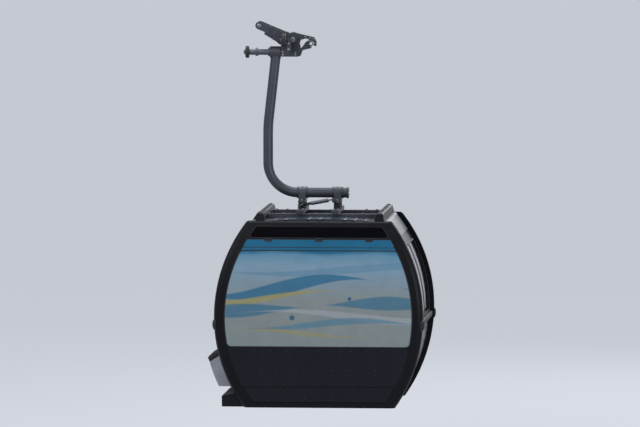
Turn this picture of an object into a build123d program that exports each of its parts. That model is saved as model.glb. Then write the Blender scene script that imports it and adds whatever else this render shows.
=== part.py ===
from build123d import *
import os
from math import atan2, cos, degrees, hypot, radians, sin, sqrt

# Ten-seat detachable gondola: rope grip, hanger arm and cabin. Millimetres, +Z up.
# The origin is the rope's centre inside the grip's jaws. X points away from the arm
# and the doors, Y runs along the rope. A "height" counts up from the cabin's
# underside, and an "across" counts from the cabin's middle.

os.makedirs("parts", exist_ok=True)

# Rope, the cabin's place under it, and clearances
rope_radius = 25.0
cabin_offset = 160.0
hanger_drop = 2000.0
fit = 0.3
jaw_clearance = 0.1
running_gap = 6.0

# Cabin body: half span at the waist, then the radius of the curve through it
waist = 1050.0
across_curve = (1205.0, 1825.0)
along_curve = (1030.0, 3900.0)
roof_height = 2150.0
roof_side = 195.0
roof_thickness = 35.0
dome_rise = 22.0
dome_half_width = 620.0
corner_radius = 70.0
corner_bevels = (22.5, 45.0, 67.5)
roof_edge_radius = 45.0
wall = 35.0

# End frames: rings that stand proud of the side walls
skin_inset = 50.0
hoop_face = 140.0
hoop_wrap = 100.0
hoop_flange = 45.0
glass = 8.0
pane_recess = 2.0
rebate_lap = 16.0

# Bands of the end wall, from the underside up to the panel and from the roof down
panel_low = 60.0
panel_high = 698.0
crease_height = 245.0
crease_step = 12.0
window_sill = 15.0
window_radius = 55.0
window_bar = 35.0
vent_height = 90.0
vent_radius = 12.0
band_gap = 17.0
header_height = 128.0
header_top_gap = 60.0
header_radius = 30.0
cover = 12.0

# Side walls, doors and sill
floor_low = 60.0
floor_high = 140.0
mat = 6.0
rail_height = 63.0
rail_shelf = 10.0
side_window_low = 1010.0
side_window_gap = 52.0
pillar = 90.0
rim = 55.0
door_travel = 400.0
door_lap = 20.0
leaf_meet = 4.0
leaf_inset = 8.0
leaf_low = 172.0
leaf_top_gap = 30.0
leaf_border = 48.0
runner_height = 16.0
runner_border = 60.0
sill_reach = 1130.0
sill_outer_height = 125.0
sill_inner_height = 160.0
drive_place = 1080.0
drive_shaft_radius = 12.0
drive_radius = 36.0
drive_height = 24.0
drive_gap = 14.0

# Waist bumpers
bumper_middle = 960.0
bumper_height = 64.0
bumper_depth = 34.0

# Ski racks on the doors
rack_low = 200.0
rack_outer_high = 540.0
rack_inner_high = 640.0
rack_depth = 190.0
rack_wall = 8.0
rack_width = 352.0
rack_pockets = 4

# Benches
seat_height = 585.0
seat_front = 450.0
seat_depth = 400.0
seat_thickness = 45.0
seat_fall = 15.0
seat_count = 5
seat_pitch = 372.0
seat_gap = 14.0
seat_round = 20.0
back_height = 400.0
back_lean = 22.0
back_thickness = 32.0
bench_leg = 40.0
bench_leg_place = 600.0

# Floor beams
floor_beam_width = 60.0
floor_beam_count = 4
floor_beam_border = 330.0

# Roof rails, beams on the roof, buffers and saddles
roof_rail_across = 690.0
roof_rail_base = 112.0
roof_rail_top = 72.0
roof_rail_height = 90.0
beam_width = 84.0
cross_beam_height = 30.0
beam_height = 42.0
beam_half_length = 430.0
cross_beam_place = 330.0
post_places = (-100.0, 310.0)
buffer_radius = 44.0
buffer_spread = 105.0
saddle_plate = 16.0
saddle_half_length = 155.0
saddle_width = 84.0
strap = 12.0

# Damper: places in the cabin's end view
damper_across = (-284.0, 110.0)
damper_eye_rise = 42.0
damper_side = 35.0
damper_radius = 22.0
damper_body = (0.35, 0.85)
rod_radius = 9.0
eye = 16.0
eye_pin = 8.0
eye_half_width = 12.0
eye_plate = 12.0

# Hanger arm: points of its axis, in the plane of the grip
arm_radius = 57.0
arm_across = -500.0
arm_rise = 273.0
arm_head = (-410.0, -140.0)
arm_shoulder = -950.0
arm_end = 420.0
shoulder_radius = 1500.0
elbow_radius = 350.0
arm_cap = 9.0
arm_cap_width = 14.0
eye_radius = 68.0
eye_from = -475.0
eye_to = -352.0

# Pivot shaft and guide roller
pivot_drop = 100.0
shaft_radius = 34.0
shaft_root = -200.0
thrust_collar = (50.0, 16.0)
guide_collar = (46.0, 30.0)
guide_collar_place = -615.0
guide_radius = 70.0
guide_width = 42.0
guide_place = -740.0
guide_axle_radius = 20.0

# Clamp: hub, jaws, fork, coupling roller and spring
hub = (-207.0, 47.0)
hub_radius = 84.0
pin_radius = 32.0
pin_end = 8.0
jaw_half_width = 40.0
jaw_reach = 150.0
jaw_tip = 6.0
jaw_root = 20.0
jaw_round = 12.0
fixed_jaw_arc = (138.0, 270.0)
moving_jaw_arc = (-27.0, 120.0)
lug_inner = 46.0
lug_outer = 66.0
lug_border = 20.0
body_foot = -150.0
body_foot_slope = 8.0
body_back = 20.0
fork_inner = 72.0
fork_outer = 90.0
fork_width = 90.0
coupling_place = (-596.0, 210.0)
coupling_radius = 35.0
coupling_pin = 16.0
spring_radius = 60.0
spring_from = (-322.0, 40.0)
spring_to = (-516.0, 160.0)
spring_collar = 7.0
spring_collar_length = 34.0
spring_nut = 26.0
spring_nut_length = 22.0

# Running wheels and the arms that carry them
wheel_radius = 80.0
wheel_width = 50.0
wheel_place = (-300.0, 47.0)
wheel_spread = 210.0
axle_radius = 18.0
axle_end = 12.0
wheel_arm = 48.0
wheel_arm_low = -78.0
wheel_arm_beam = 40.0
wheel_arm_gap = 9.0
wheel_arm_rise = 28.0

# Planes of the cabin: seen from the end, seen from the side, and seen from above
cabin_drop = hanger_drop + roof_height
cabin_base = (cabin_offset, 0, -cabin_drop)
end_view = Plane(origin=cabin_base, x_dir=(1, 0, 0), z_dir=(0, -1, 0))
side_view = Plane(origin=cabin_base, x_dir=(0, 1, 0), z_dir=(1, 0, 0))
grip_plane = Plane.XZ
reach = 1500.0
spare = 40.0


def level(height):
    """The horizontal plane at a height above the cabin's underside."""
    return Plane(origin=(cabin_offset, 0, height - cabin_drop))


def across_rope(x, height, side=0.0):
    """A plane that looks along +X at a place given in the grip's plane."""
    return Plane(origin=(x, side, height), x_dir=(0, 1, 0), z_dir=(1, 0, 0))


def half_span(curve, inset, height):
    """Half the body's width or length at a height, moved inwards by the inset."""
    span, radius = curve
    return span - radius + sqrt((radius - inset) ** 2 - (height - waist) ** 2)


def curve_side(curve, inset, low, high, sign):
    """One side of the outline as an arc."""
    ThreePointArc(*[(sign * half_span(curve, inset, h), h) for h in (low, (low + high) / 2, high)])


def full_outline(curve, inset, low, high):
    """The whole outline between two heights."""
    for sign in (-1, 1):
        curve_side(curve, inset, low, high, sign)
    for h in (low, high):
        Line((-half_span(curve, inset, h), h), (half_span(curve, inset, h), h))


def band_outline(curve, outer, inner, low, high, sign):
    """The strip between two insets on one side."""
    for inset in (outer, inner):
        curve_side(curve, inset, low, high, sign)
    for h in (low, high):
        Line((sign * half_span(curve, outer, h), h), (sign * half_span(curve, inner, h), h))


def barrel(across_inset, along_inset, low, high, across_round=0, along_round=0):
    """The block that both outlines bound, with its upper edges rounded."""
    with BuildPart() as body:
        for plane, curve, inset, rounding, mode in (
            (end_view, across_curve, across_inset, across_round, Mode.ADD),
            (side_view, along_curve, along_inset, along_round, Mode.INTERSECT),
        ):
            with BuildSketch(plane) as face:
                with BuildLine():
                    full_outline(curve, inset, low, high)
                make_face()
                if rounding:
                    fillet(face.vertices().group_by(Axis.Y)[-1], rounding)
            extrude(amount=reach, both=True, mode=mode)
    return body.part


def corner_bevel(turn):
    """The block that bounds two of the upright corners, seen at an angle from the end."""
    def span(h):
        return (abs(cos(turn)) * (half_span(across_curve, 0, h) - corner_radius)
                + abs(sin(turn)) * (half_span(along_curve, 0, h) - corner_radius) + corner_radius)

    view = Plane(origin=cabin_base, x_dir=(cos(turn), sin(turn), 0), z_dir=(sin(turn), -cos(turn), 0))
    with BuildPart() as bound:
        with BuildSketch(view):
            with BuildLine():
                for sign in (-1, 1):
                    ThreePointArc(*[(sign * span(h), h) for h in (0, waist, roof_height)])
                for h in (0, roof_height):
                    Line((-span(h), h), (span(h), h))
            make_face()
        extrude(amount=2 * reach, both=True)
    return bound.part


def end_sheet(across_inset, outer, inner, low, high, radius=0):
    """A curved sheet in the rear end wall, between two insets along the cabin."""
    with BuildPart() as sheet:
        with BuildSketch(side_view):
            with BuildLine():
                band_outline(along_curve, outer, inner, low - spare, high + spare, -1)
            make_face()
        extrude(amount=reach, both=True)
        with BuildSketch(end_view) as face:
            with BuildLine():
                full_outline(across_curve, across_inset, low, high)
            make_face()
            if radius:
                fillet(face.vertices(), radius)
        extrude(amount=reach, both=True, mode=Mode.INTERSECT)
    return sheet.part


def side_sheet(sign, outer, inner, low, high, start, stop, end_inset=None, radius=0):
    """A curved sheet in one side wall, from start to stop along the cabin."""
    with BuildPart() as sheet:
        with BuildSketch(end_view):
            with BuildLine():
                band_outline(across_curve, outer, inner, low - spare, high + spare, sign)
            make_face()
        extrude(amount=reach, both=True)
        with BuildSketch(side_view) as face:
            with Locations(((start + stop) / 2, (low + high) / 2)):
                Rectangle(stop - start, high - low)
            if end_inset is not None:
                with BuildLine():
                    full_outline(along_curve, end_inset, low - spare, high + spare)
                make_face(mode=Mode.INTERSECT)
            if radius:
                fillet(face.vertices(), radius)
        extrude(amount=reach, both=True, mode=Mode.INTERSECT)
    return sheet.part


def block(plane, x_low, x_high, y_low, y_high, amount, mode=Mode.ADD, both=False):
    """A straight block on a plane, inside the part that is being built."""
    with BuildSketch(plane) as base:
        with Locations(((x_low + x_high) / 2, (y_low + y_high) / 2)):
            Rectangle(x_high - x_low, y_high - y_low)
    extrude(base.sketch, amount=amount, both=both, mode=mode)


def rod(plane, places, radius, amount, mode=Mode.ADD, both=False):
    """Round bars on a plane, inside the part that is being built."""
    with BuildSketch(plane) as base:
        with Locations(*places):
            Circle(radius)
    extrude(base.sketch, amount=amount, both=both, mode=mode)


def jaw_tongue(arc):
    """A tapered half shell along the rope, between two angles, that lengthens a jaw both ways."""
    start = radians(arc[1])
    inside = rope_radius + jaw_clearance
    with BuildSketch(Plane(origin=(0, 0, 0), x_dir=(cos(start), 0, sin(start)),
                           z_dir=(-sin(start), 0, cos(start)))) as profile:
        Polygon((inside, -jaw_reach), (inside, jaw_reach), (inside + jaw_tip, jaw_reach),
                (inside + jaw_root, lug_outer), (inside + jaw_root, -lug_outer),
                (inside + jaw_tip, -jaw_reach), align=None)
    revolve(profile.sketch, axis=Axis.Y, revolution_arc=arc[1] - arc[0])


def save(part, label):
    """Name a finished piece and write it."""
    part.label = label
    export_step(part, f"parts/{label}.step")


def save_pair(part, label):
    """Write a piece of the rear end, and its mirror image at the front."""
    save(mirror(part, about=Plane.XZ), f"{label}_front")
    save(part, f"{label}_rear")


# Heights that follow from the roof
cant_height = roof_height - roof_side
header_high = roof_height - header_top_gap
header_low = header_high - header_height
vent_high = header_low - band_gap
vent_low = vent_high - vent_height
window_high = vent_low - window_bar
window_low = panel_high + window_sill
rail_low = cant_height - rail_height
side_window_high = rail_low - side_window_gap
leaf_high = cant_height - leaf_top_gap

# End walls: the ring, then the covers and panes that sit in its rebates
covers = (
    # name, low, high, thickness, corner radius, whether the ring is open behind it
    ("end_panel", panel_low, panel_high, wall, 0, True),
    ("end_glass", window_low, window_high, glass, window_radius, True),
    ("vent_glass", vent_low, vent_high, glass, vent_radius, True),
    ("end_header", header_low, header_high, cover, header_radius, False),
)
with BuildPart() as end_frame:
    add(barrel(0, 0, 0, roof_height, roof_edge_radius, roof_edge_radius))
    for bevel in corner_bevels:
        for turn in (bevel, -bevel):
            add(corner_bevel(radians(turn)), mode=Mode.INTERSECT)
    split(bisect_by=Plane.XZ, keep=Keep.TOP)
    add(barrel(skin_inset + wall, hoop_flange, floor_low, roof_height - roof_thickness), mode=Mode.SUBTRACT)
    add(barrel(-reach / 3, hoop_wrap, -wall, roof_height + wall), mode=Mode.SUBTRACT)
    for _, low, high, thickness, radius, is_open in covers:
        add(end_sheet(hoop_face - rebate_lap, -wall, thickness + fit, low - fit, high + fit, radius),
            mode=Mode.SUBTRACT)
        if is_open:
            add(end_sheet(hoop_face, -wall, reach / 6, low + rebate_lap, high - rebate_lap,
                          max(radius - rebate_lap, 0)), mode=Mode.SUBTRACT)
save_pair(end_frame.part, "end_frame")

for name, low, high, thickness, radius, _ in covers:
    with BuildPart() as piece:
        add(end_sheet(hoop_face - rebate_lap + fit, 0, thickness, low, high, radius))
        if name == "end_panel":
            add(end_sheet(hoop_face - 2 * rebate_lap, -wall, crease_step, low - wall, crease_height),
                mode=Mode.SUBTRACT)
    save_pair(piece.part, name)

# Wall without doors, on the +X side
hoop_edge = half_span(along_curve, hoop_wrap, waist)
window_band = (side_window_low, side_window_high)
with BuildPart() as blind_wall:
    add(side_sheet(1, skin_inset, skin_inset + wall, floor_low, cant_height - fit, -hoop_edge, hoop_edge,
                   hoop_wrap + fit))
    for near, far in ((-hoop_edge, -pillar / 2), (pillar / 2, hoop_edge)):
        add(side_sheet(1, skin_inset - wall, skin_inset + 2 * wall, *window_band, near, far, hoop_wrap + rim,
                       window_radius), mode=Mode.SUBTRACT)
save(blind_wall.part, "blind_wall")
pane_band = (side_window_low + fit, side_window_high - fit)
pane_skins = (skin_inset + pane_recess, skin_inset + pane_recess + glass)
save_pair(side_sheet(1, *pane_skins, *pane_band, -hoop_edge, -pillar / 2 - fit, hoop_wrap + rim + fit,
                     window_radius), "blind_glass")

bumper_band = (bumper_middle - bumper_height / 2, bumper_middle + bumper_height / 2)
with BuildPart() as blind_bumper:
    add(side_sheet(1, skin_inset - bumper_depth, skin_inset - fit, *bumper_band, -hoop_edge, hoop_edge,
                   hoop_wrap + fit))
    fillet(blind_bumper.edges().filter_by(Axis.Y).sort_by(Axis.X)[-2:], bumper_depth / 3)
save(blind_bumper.part, "blind_bumper")

# Walls beside the doors, on the -X side
with BuildPart() as quarter_wall:
    add(side_sheet(-1, skin_inset, skin_inset + wall, floor_low, rail_low - fit, -hoop_edge, -door_travel,
                   hoop_wrap + fit))
    add(side_sheet(-1, skin_inset - wall, skin_inset + 2 * wall, *window_band, -hoop_edge, -door_travel - rim,
                   hoop_wrap + rim, window_radius), mode=Mode.SUBTRACT)
save_pair(quarter_wall.part, "quarter_wall")
save_pair(side_sheet(-1, *pane_skins, *pane_band, -hoop_edge, -door_travel - rim - fit, hoop_wrap + rim + fit,
                     window_radius), "quarter_glass")

# Doors: a leaf with its window, bumper, runner in the head rail, and ski rack
far, near = -door_travel - door_lap, -leaf_meet
leaf_window_high = side_window_high - leaf_border
runner_low = rail_low + rail_shelf + fit
with BuildPart() as door_leaf:
    add(side_sheet(-1, leaf_inset, leaf_inset + wall, leaf_low, leaf_high, far, near))
    add(side_sheet(-1, leaf_inset - wall, leaf_inset + 2 * wall, side_window_low, leaf_window_high,
                   far + leaf_border, near - leaf_border, None, window_radius), mode=Mode.SUBTRACT)
    add(side_sheet(-1, leaf_inset + wall - 1, skin_inset + wall - rail_shelf - running_gap, runner_low,
                   runner_low + runner_height, far + runner_border, near - runner_border))
save_pair(door_leaf.part, "door_leaf")
save_pair(side_sheet(-1, leaf_inset + pane_recess, leaf_inset + pane_recess + glass, side_window_low + fit,
                     leaf_window_high - fit, far + leaf_border + fit, near - leaf_border - fit, None,
                     window_radius), "door_glass")
with BuildPart() as door_bumper:
    add(side_sheet(-1, leaf_inset - bumper_depth, leaf_inset - fit, *bumper_band, far, near))
    fillet(door_bumper.edges().filter_by(Axis.Y).sort_by(Axis.X)[:2], bumper_depth / 3)
save_pair(door_bumper.part, "door_bumper")

rack_far = (far + near - rack_width) / 2
rack_pitch = (rack_width - rack_wall) / rack_pockets
rack_outer, rack_back = leaf_inset - rack_depth, leaf_inset - fit
with BuildPart() as ski_rack:
    with BuildSketch(end_view.offset(-rack_far)):
        with BuildLine():
            curve_side(across_curve, rack_back, rack_low, rack_inner_high, -1)
            curve_side(across_curve, rack_outer, rack_low, rack_outer_high, -1)
            for back, front in ((rack_low, rack_low), (rack_inner_high, rack_outer_high)):
                Line((-half_span(across_curve, rack_back, back), back),
                     (-half_span(across_curve, rack_outer, front), front))
        make_face()
    extrude(amount=-rack_width)
    for number in range(rack_pockets):
        with BuildSketch(end_view.offset(-rack_far - rack_wall - number * rack_pitch)):
            with BuildLine():
                band_outline(across_curve, rack_outer + rack_wall, leaf_inset - rack_wall,
                             rack_low + rack_wall, rack_inner_high + wall, -1)
            make_face()
        extrude(amount=-(rack_pitch - rack_wall), mode=Mode.SUBTRACT)
save_pair(ski_rack.part, "ski_rack")

# Head rail, a channel open to the outside that carries the runners of both leaves
with BuildPart() as head_rail:
    add(side_sheet(-1, skin_inset, skin_inset + wall, rail_low, cant_height - fit, -hoop_edge, hoop_edge,
                   hoop_wrap + fit))
    add(side_sheet(-1, skin_inset - wall, skin_inset + wall - rail_shelf, rail_low + rail_shelf,
                   cant_height - rail_shelf, -reach, reach), mode=Mode.SUBTRACT)
save(head_rail.part, "head_rail")

# Roof with its low dome, and a bevelled rail along each side
dome_half_length = half_span(along_curve, hoop_wrap + fit, roof_height)


def dome_outline(gap):
    """The arch across the roof, lifted by a gap."""
    low = roof_height + gap
    ThreePointArc((-dome_half_width, low), (0, low + dome_rise), (dome_half_width, low))
    Line((-dome_half_width, low), (dome_half_width, low))


with BuildPart() as roof_panel:
    add(barrel(skin_inset, hoop_wrap + fit, cant_height, roof_height, roof_edge_radius))
    add(barrel(skin_inset + wall, -reach / 3, cant_height - wall, roof_height - roof_thickness),
        mode=Mode.SUBTRACT)
    with BuildSketch(end_view):
        with BuildLine():
            dome_outline(0)
        make_face()
    extrude(amount=dome_half_length, both=True)
save(roof_panel.part, "roof_panel")

rail_length = half_span(along_curve, 0, roof_height) - roof_edge_radius
for side, sign in (("left", -1), ("right", 1)):
    with BuildPart() as roof_rail:
        for height, width, length in ((fit, roof_rail_base, 2 * rail_length),
                                      (roof_rail_height, roof_rail_top, 2 * rail_length - roof_rail_height)):
            with BuildSketch(level(roof_height + height)):
                with Locations((sign * roof_rail_across, 0)):
                    Rectangle(width, length)
        loft()
        chamfer(roof_rail.faces().sort_by(Axis.Z)[-1].edges(), roof_rail_top / 6)
    save(roof_rail.part, f"roof_rail_{side}")

# Suspension on the roof: cross beams, beams on them, buffers, and saddles round the arm
beam_low = roof_height + dome_rise + cross_beam_height
beam_high = beam_low + beam_height
posts = [place - cabin_offset for place in post_places]
arm_height = roof_height + arm_rise
saddle_low = arm_height - arm_radius - strap - 2 * saddle_plate
rail_face = roof_rail_across - roof_rail_base / 2 - fit
damper_y = -saddle_half_length - damper_side
plate_near = damper_y + eye_half_width + fit
plate_far = plate_near + eye_plate
damper_foot = (damper_across[0], beam_high + damper_eye_rise)
damper_top = (damper_across[1], arm_height - arm_radius - eye_pin)

with BuildPart() as cross_beams:
    for place in (-cross_beam_place, cross_beam_place):
        block(level(roof_height), -rail_face, rail_face, place - beam_width / 2, place + beam_width / 2,
              beam_low - roof_height)
    with BuildSketch(end_view):
        with BuildLine():
            dome_outline(fit)
        make_face()
    extrude(amount=reach, both=True, mode=Mode.SUBTRACT)
    block(level(roof_height - 1), -reach, reach, -reach, reach, 1 + fit, mode=Mode.SUBTRACT)
save(cross_beams.part, "cross_beams")

with BuildPart() as roof_frame:
    for post in posts:
        block(level(beam_low), post - beam_width / 2, post + beam_width / 2, -beam_half_length,
              beam_half_length, beam_height)
    block(level(beam_low), damper_foot[0] - eye, posts[0], plate_near, plate_far, beam_height)
    block(level(beam_low), damper_foot[0] - eye, damper_foot[0] + eye, plate_near, plate_far,
          beam_height + damper_eye_rise + eye)
    rod(end_view.offset(-plate_near), [damper_foot], eye_pin, 2 * (eye_half_width + fit))
save(roof_frame.part, "roof_frame")

with BuildPart() as buffers:
    rod(level(beam_high), [(post, side * buffer_spread) for post in posts for side in (-1, 1)],
        buffer_radius, saddle_low - beam_high)
save(buffers.part, "buffers")

for side, post in zip(("outer", "inner"), posts):
    cradle = across_rope(cabin_offset + post, arm_height - cabin_drop)
    low_x, high_x = post - saddle_width / 2, post + saddle_width / 2
    with BuildPart() as saddle:
        block(level(saddle_low), low_x, high_x, -saddle_half_length, saddle_half_length, saddle_plate)
        block(level(saddle_low), low_x, high_x, -arm_radius - strap, arm_radius + strap,
              arm_height - saddle_low)
        rod(cradle, [(0, 0)], arm_radius + strap, saddle_width / 2, both=True)
        rod(cradle, [(0, 0)], arm_radius + fit, saddle_width, both=True, mode=Mode.SUBTRACT)
        if side == "inner":
            block(level(saddle_low), damper_top[0] - eye, post, plate_near, 1 - saddle_half_length,
                  saddle_plate)
            block(level(saddle_low), damper_top[0] - eye, damper_top[0] + eye, plate_near, plate_far,
                  damper_top[1] + eye - saddle_low)
            rod(end_view.offset(-plate_near), [damper_top], eye_pin, 2 * (eye_half_width + fit))
    save(saddle.part, f"saddle_{side}")

damper_rise = (damper_top[0] - damper_foot[0], damper_top[1] - damper_foot[1])
damper_length = hypot(*damper_rise)
damper_axis = Plane(origin=(cabin_offset + damper_foot[0], damper_y, damper_foot[1] - cabin_drop),
                    x_dir=(0, 1, 0), z_dir=(damper_rise[0], 0, damper_rise[1]))
with BuildPart() as swing_damper:
    rod(damper_axis, [(0, 0)], rod_radius, damper_length)
    rod(damper_axis.offset(damper_length * damper_body[0]), [(0, 0)], damper_radius,
        damper_length * (damper_body[1] - damper_body[0]))
    damper_eyes = [damper_foot, damper_top]
    rod(end_view.offset(-damper_y), damper_eyes, eye, eye_half_width, both=True)
    rod(end_view.offset(-damper_y), damper_eyes, eye_pin + fit, eye, mode=Mode.SUBTRACT, both=True)
save(swing_damper.part, "swing_damper")

# Floor with its mat and beams
save(barrel(skin_inset + wall + fit, hoop_wrap + fit, floor_low, floor_high), "floor_pan")
save(barrel(skin_inset + wall + rim, hoop_wrap + rim, floor_high, floor_high + mat), "floor_mat")
beam_last = half_span(along_curve, hoop_wrap, floor_low) - floor_beam_border
beam_pitch = 2 * beam_last / (floor_beam_count - 1)
beam_reach = half_span(across_curve, skin_inset, floor_low) - 2 * rim
with BuildPart() as floor_beams:
    for number in range(floor_beam_count):
        place = number * beam_pitch - beam_last
        block(level(0), -beam_reach, beam_reach, place - floor_beam_width / 2, place + floor_beam_width / 2,
              floor_low)
save(floor_beams.part, "floor_beams")

# Sill with the step, and the roller that works the doors in a station
sill_inner = half_span(across_curve, skin_inset + wall, floor_low)
sill_face = skin_inset - fit
with BuildPart() as sill_step:
    with BuildSketch(end_view):
        with BuildLine():
            curve_side(across_curve, sill_face, floor_low, sill_inner_height, -1)
            Polyline(
                (-half_span(across_curve, sill_face, sill_inner_height), sill_inner_height),
                (-half_span(across_curve, leaf_inset, leaf_low), sill_inner_height),
                (-sill_reach, sill_outer_height),
                (-sill_reach, 0),
                (-sill_inner, 0),
                (-sill_inner, floor_low - fit),
                (-half_span(across_curve, sill_face, floor_low), floor_low - fit),
                (-half_span(across_curve, sill_face, floor_low), floor_low),
            )
        make_face()
    extrude(amount=reach, both=True)
    with BuildSketch(side_view):
        with BuildLine():
            full_outline(along_curve, hoop_wrap + fit, 0, sill_inner_height)
        make_face()
    extrude(amount=reach, both=True, mode=Mode.INTERSECT)
    add(side_sheet(-1, sill_face - 1, skin_inset + wall, floor_low, sill_inner_height, fit - door_travel,
                   door_travel - fit))
save(sill_step.part, "sill_step")

with BuildPart() as door_drive:
    rod(level(-fit), [(-drive_place, 0)], drive_shaft_radius, -(drive_gap + drive_height + running_gap))
    rod(level(-drive_gap), [(-drive_place, 0)], drive_radius, -drive_height)
save(door_drive.part, "door_drive")

# Bench: a row of moulded seats on a beam with two legs
seat_back = seat_front + seat_depth
back_top = seat_height + back_height
seat_low = seat_height - seat_thickness
seat_outline = (
    # along, height: under the front edge, over the seat, up the back and down behind it
    (-seat_front, seat_low),
    (-seat_front, seat_height),
    (back_lean - seat_back, seat_height - seat_fall),
    (-back_lean - seat_back, back_top),
    (-back_lean - seat_back - back_thickness, back_top),
    (-seat_back - back_thickness, seat_low),
)
leg_low = floor_high + mat
beam_under = seat_low - bench_leg
row_half = seat_pitch * seat_count / 2 - seat_gap
leg_place = (-seat_front - seat_depth / 2, -seat_front - seat_depth / 3)
with BuildPart() as bench_seat:
    for number in range(seat_count):
        place = (number - seat_count / 2) * seat_pitch + seat_gap / 2
        with BuildSketch(side_view.offset(place)) as shell:
            Polygon(*seat_outline, align=None)
            fillet(shell.vertices().sort_by_distance((-seat_front, seat_height))[0], seat_round)
            fillet(shell.vertices().sort_by_distance((back_lean - seat_back, seat_height))[0], 2 * seat_round)
        extrude(amount=seat_pitch - seat_gap)
    block(level(beam_under), -row_half, row_half, *leg_place, bench_leg)
    for place in (-bench_leg_place, bench_leg_place):
        block(level(leg_low), place - bench_leg / 2, place + bench_leg / 2, *leg_place, beam_under - leg_low)
save_pair(bench_seat.part, "bench_seat")

# Hanger arm: a bent tube with an eye for the pivot shaft and a cap on its end
arm_base = arm_rise - hanger_drop
with BuildPart() as hanger_arm:
    with BuildLine(grip_plane):
        path = FilletPolyline(arm_head, (arm_across, arm_shoulder), (arm_across, arm_base),
                              (arm_end, arm_base), radius=[shoulder_radius, elbow_radius])
    with BuildSketch(Plane(origin=path @ 0, z_dir=path % 0)):
        Circle(arm_radius)
    sweep()
    rod(across_rope(eye_from, -pivot_drop), [(0, 0)], eye_radius, eye_to - eye_from)
    rod(across_rope(arm_end, arm_base), [(0, 0)], arm_radius + arm_cap, arm_cap_width)
    rod(across_rope(eye_from, -pivot_drop), [(0, 0)], shaft_radius + fit, eye_to - eye_from,
        mode=Mode.SUBTRACT)
save(hanger_arm.part, "hanger_arm")

# Grip body: fixed jaw, lugs for the clamp's pin, seats for the spring and the pivot shaft
body_left = eye_to + running_gap
body_foot_corner = (body_left, body_foot)
body_throat = (-110.0, -50.0)
body_chin = (-100.0, -76.0)
body_outline = (
    # x, height: under the rope, down to the foot, up the back, and below the hub to the rope
    (0, -52), body_chin, (-124, body_foot + body_foot_slope), (-150, body_foot), body_foot_corner,
    (body_left, body_back), (-300, 40), (-240, -60), body_throat, (-60, 20), (-38, 34), (0, 0),
)
lug_foot = ((-120.0, -80.0), (-300.0, -80.0))
jaw_nose = (50.0, 50.0)
jaw_outline = (
    # x, height: from the hub's top over the nose to the rope, and under the bridge back to the hub
    (hub[0], hub[1] + hub_radius), (-10, 84), (40, 72), (62, 30), (60, -30), (0, 0), (-30, 52), (-60, 60),
    (-128, 40),
)
spring_axis = (spring_to[0] - spring_from[0], spring_to[1] - spring_from[1])
spring_length = hypot(*spring_axis)
spring_plane = Plane(origin=(spring_from[0], 0, spring_from[1]), x_dir=(0, 1, 0),
                     z_dir=(spring_axis[0], 0, spring_axis[1]))
lug_radius = hub_radius - lug_border
with BuildPart() as grip_body:
    with BuildSketch(grip_plane) as profile:
        Polygon(*body_outline, align=None)
        fillet([profile.vertices().sort_by_distance(corner)[0]
                for corner in (body_foot_corner, body_throat, body_chin)], jaw_round)
        Circle(rope_radius + jaw_clearance, mode=Mode.SUBTRACT)
        with Locations(hub):
            Circle(hub_radius + running_gap, mode=Mode.SUBTRACT)
    extrude(amount=lug_outer, both=True)
    jaw_tongue(fixed_jaw_arc)
    rod(spring_plane, [(0, 0)], spring_radius + fit, spring_length, mode=Mode.SUBTRACT)
    with BuildSketch(spring_plane):
        Circle(spring_radius + spring_collar)
        Circle(spring_radius + fit, mode=Mode.SUBTRACT)
    extrude(amount=spring_collar_length)
    for sign in (-1, 1):
        with BuildSketch(grip_plane.offset(sign * lug_inner)):
            with Locations(hub):
                Circle(lug_radius)
            Polygon((hub[0] - lug_radius, hub[1]), (hub[0] + lug_radius, hub[1]), *lug_foot, align=None)
        extrude(amount=sign * (lug_outer - lug_inner))
    rod(grip_plane, [hub], pin_radius + fit, lug_outer + 1, mode=Mode.SUBTRACT, both=True)
    rod(across_rope(body_left - 1, -pivot_drop), [(0, 0)], shaft_radius + fit, shaft_root - body_left + 1,
        mode=Mode.SUBTRACT)
save(grip_body.part, "grip_body")

shaft_end = guide_place + guide_width / 2 + running_gap
shaft_steps = (
    # from, radius, length: the shaft, its two collars and the guide roller's axle
    (shaft_root, shaft_radius, shaft_root - shaft_end),
    (eye_from - running_gap, *thrust_collar),
    (guide_collar_place, *guide_collar),
    (shaft_end, guide_axle_radius, guide_width + 3 * running_gap),
)
with BuildPart() as pivot_shaft:
    for start, radius, length in shaft_steps:
        rod(across_rope(start, -pivot_drop), [(0, 0)], radius, -length)
save(pivot_shaft.part, "pivot_shaft")

with BuildPart() as spring_housing:
    rod(spring_plane, [(0, 0)], spring_radius, spring_length)
    with BuildSketch(spring_plane.offset(spring_length)):
        RegularPolygon(spring_nut, 6)
    extrude(amount=spring_nut_length)
save(spring_housing.part, "spring_housing")

# Moving jaw, and the fork that the coupling roller pushes down to open it
with BuildPart() as clamp_jaw:
    with BuildSketch(grip_plane) as profile:
        Polygon(*jaw_outline, align=None)
        fillet(profile.vertices().sort_by_distance(jaw_nose)[:2], jaw_round)
        with Locations(hub):
            Circle(hub_radius)
        Circle(rope_radius + jaw_clearance, mode=Mode.SUBTRACT)
    extrude(amount=jaw_half_width, both=True)
    jaw_tongue(moving_jaw_arc)
    rod(grip_plane, [hub], pin_radius, fork_outer + pin_end, both=True)
save(clamp_jaw.part, "clamp_jaw")

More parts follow.
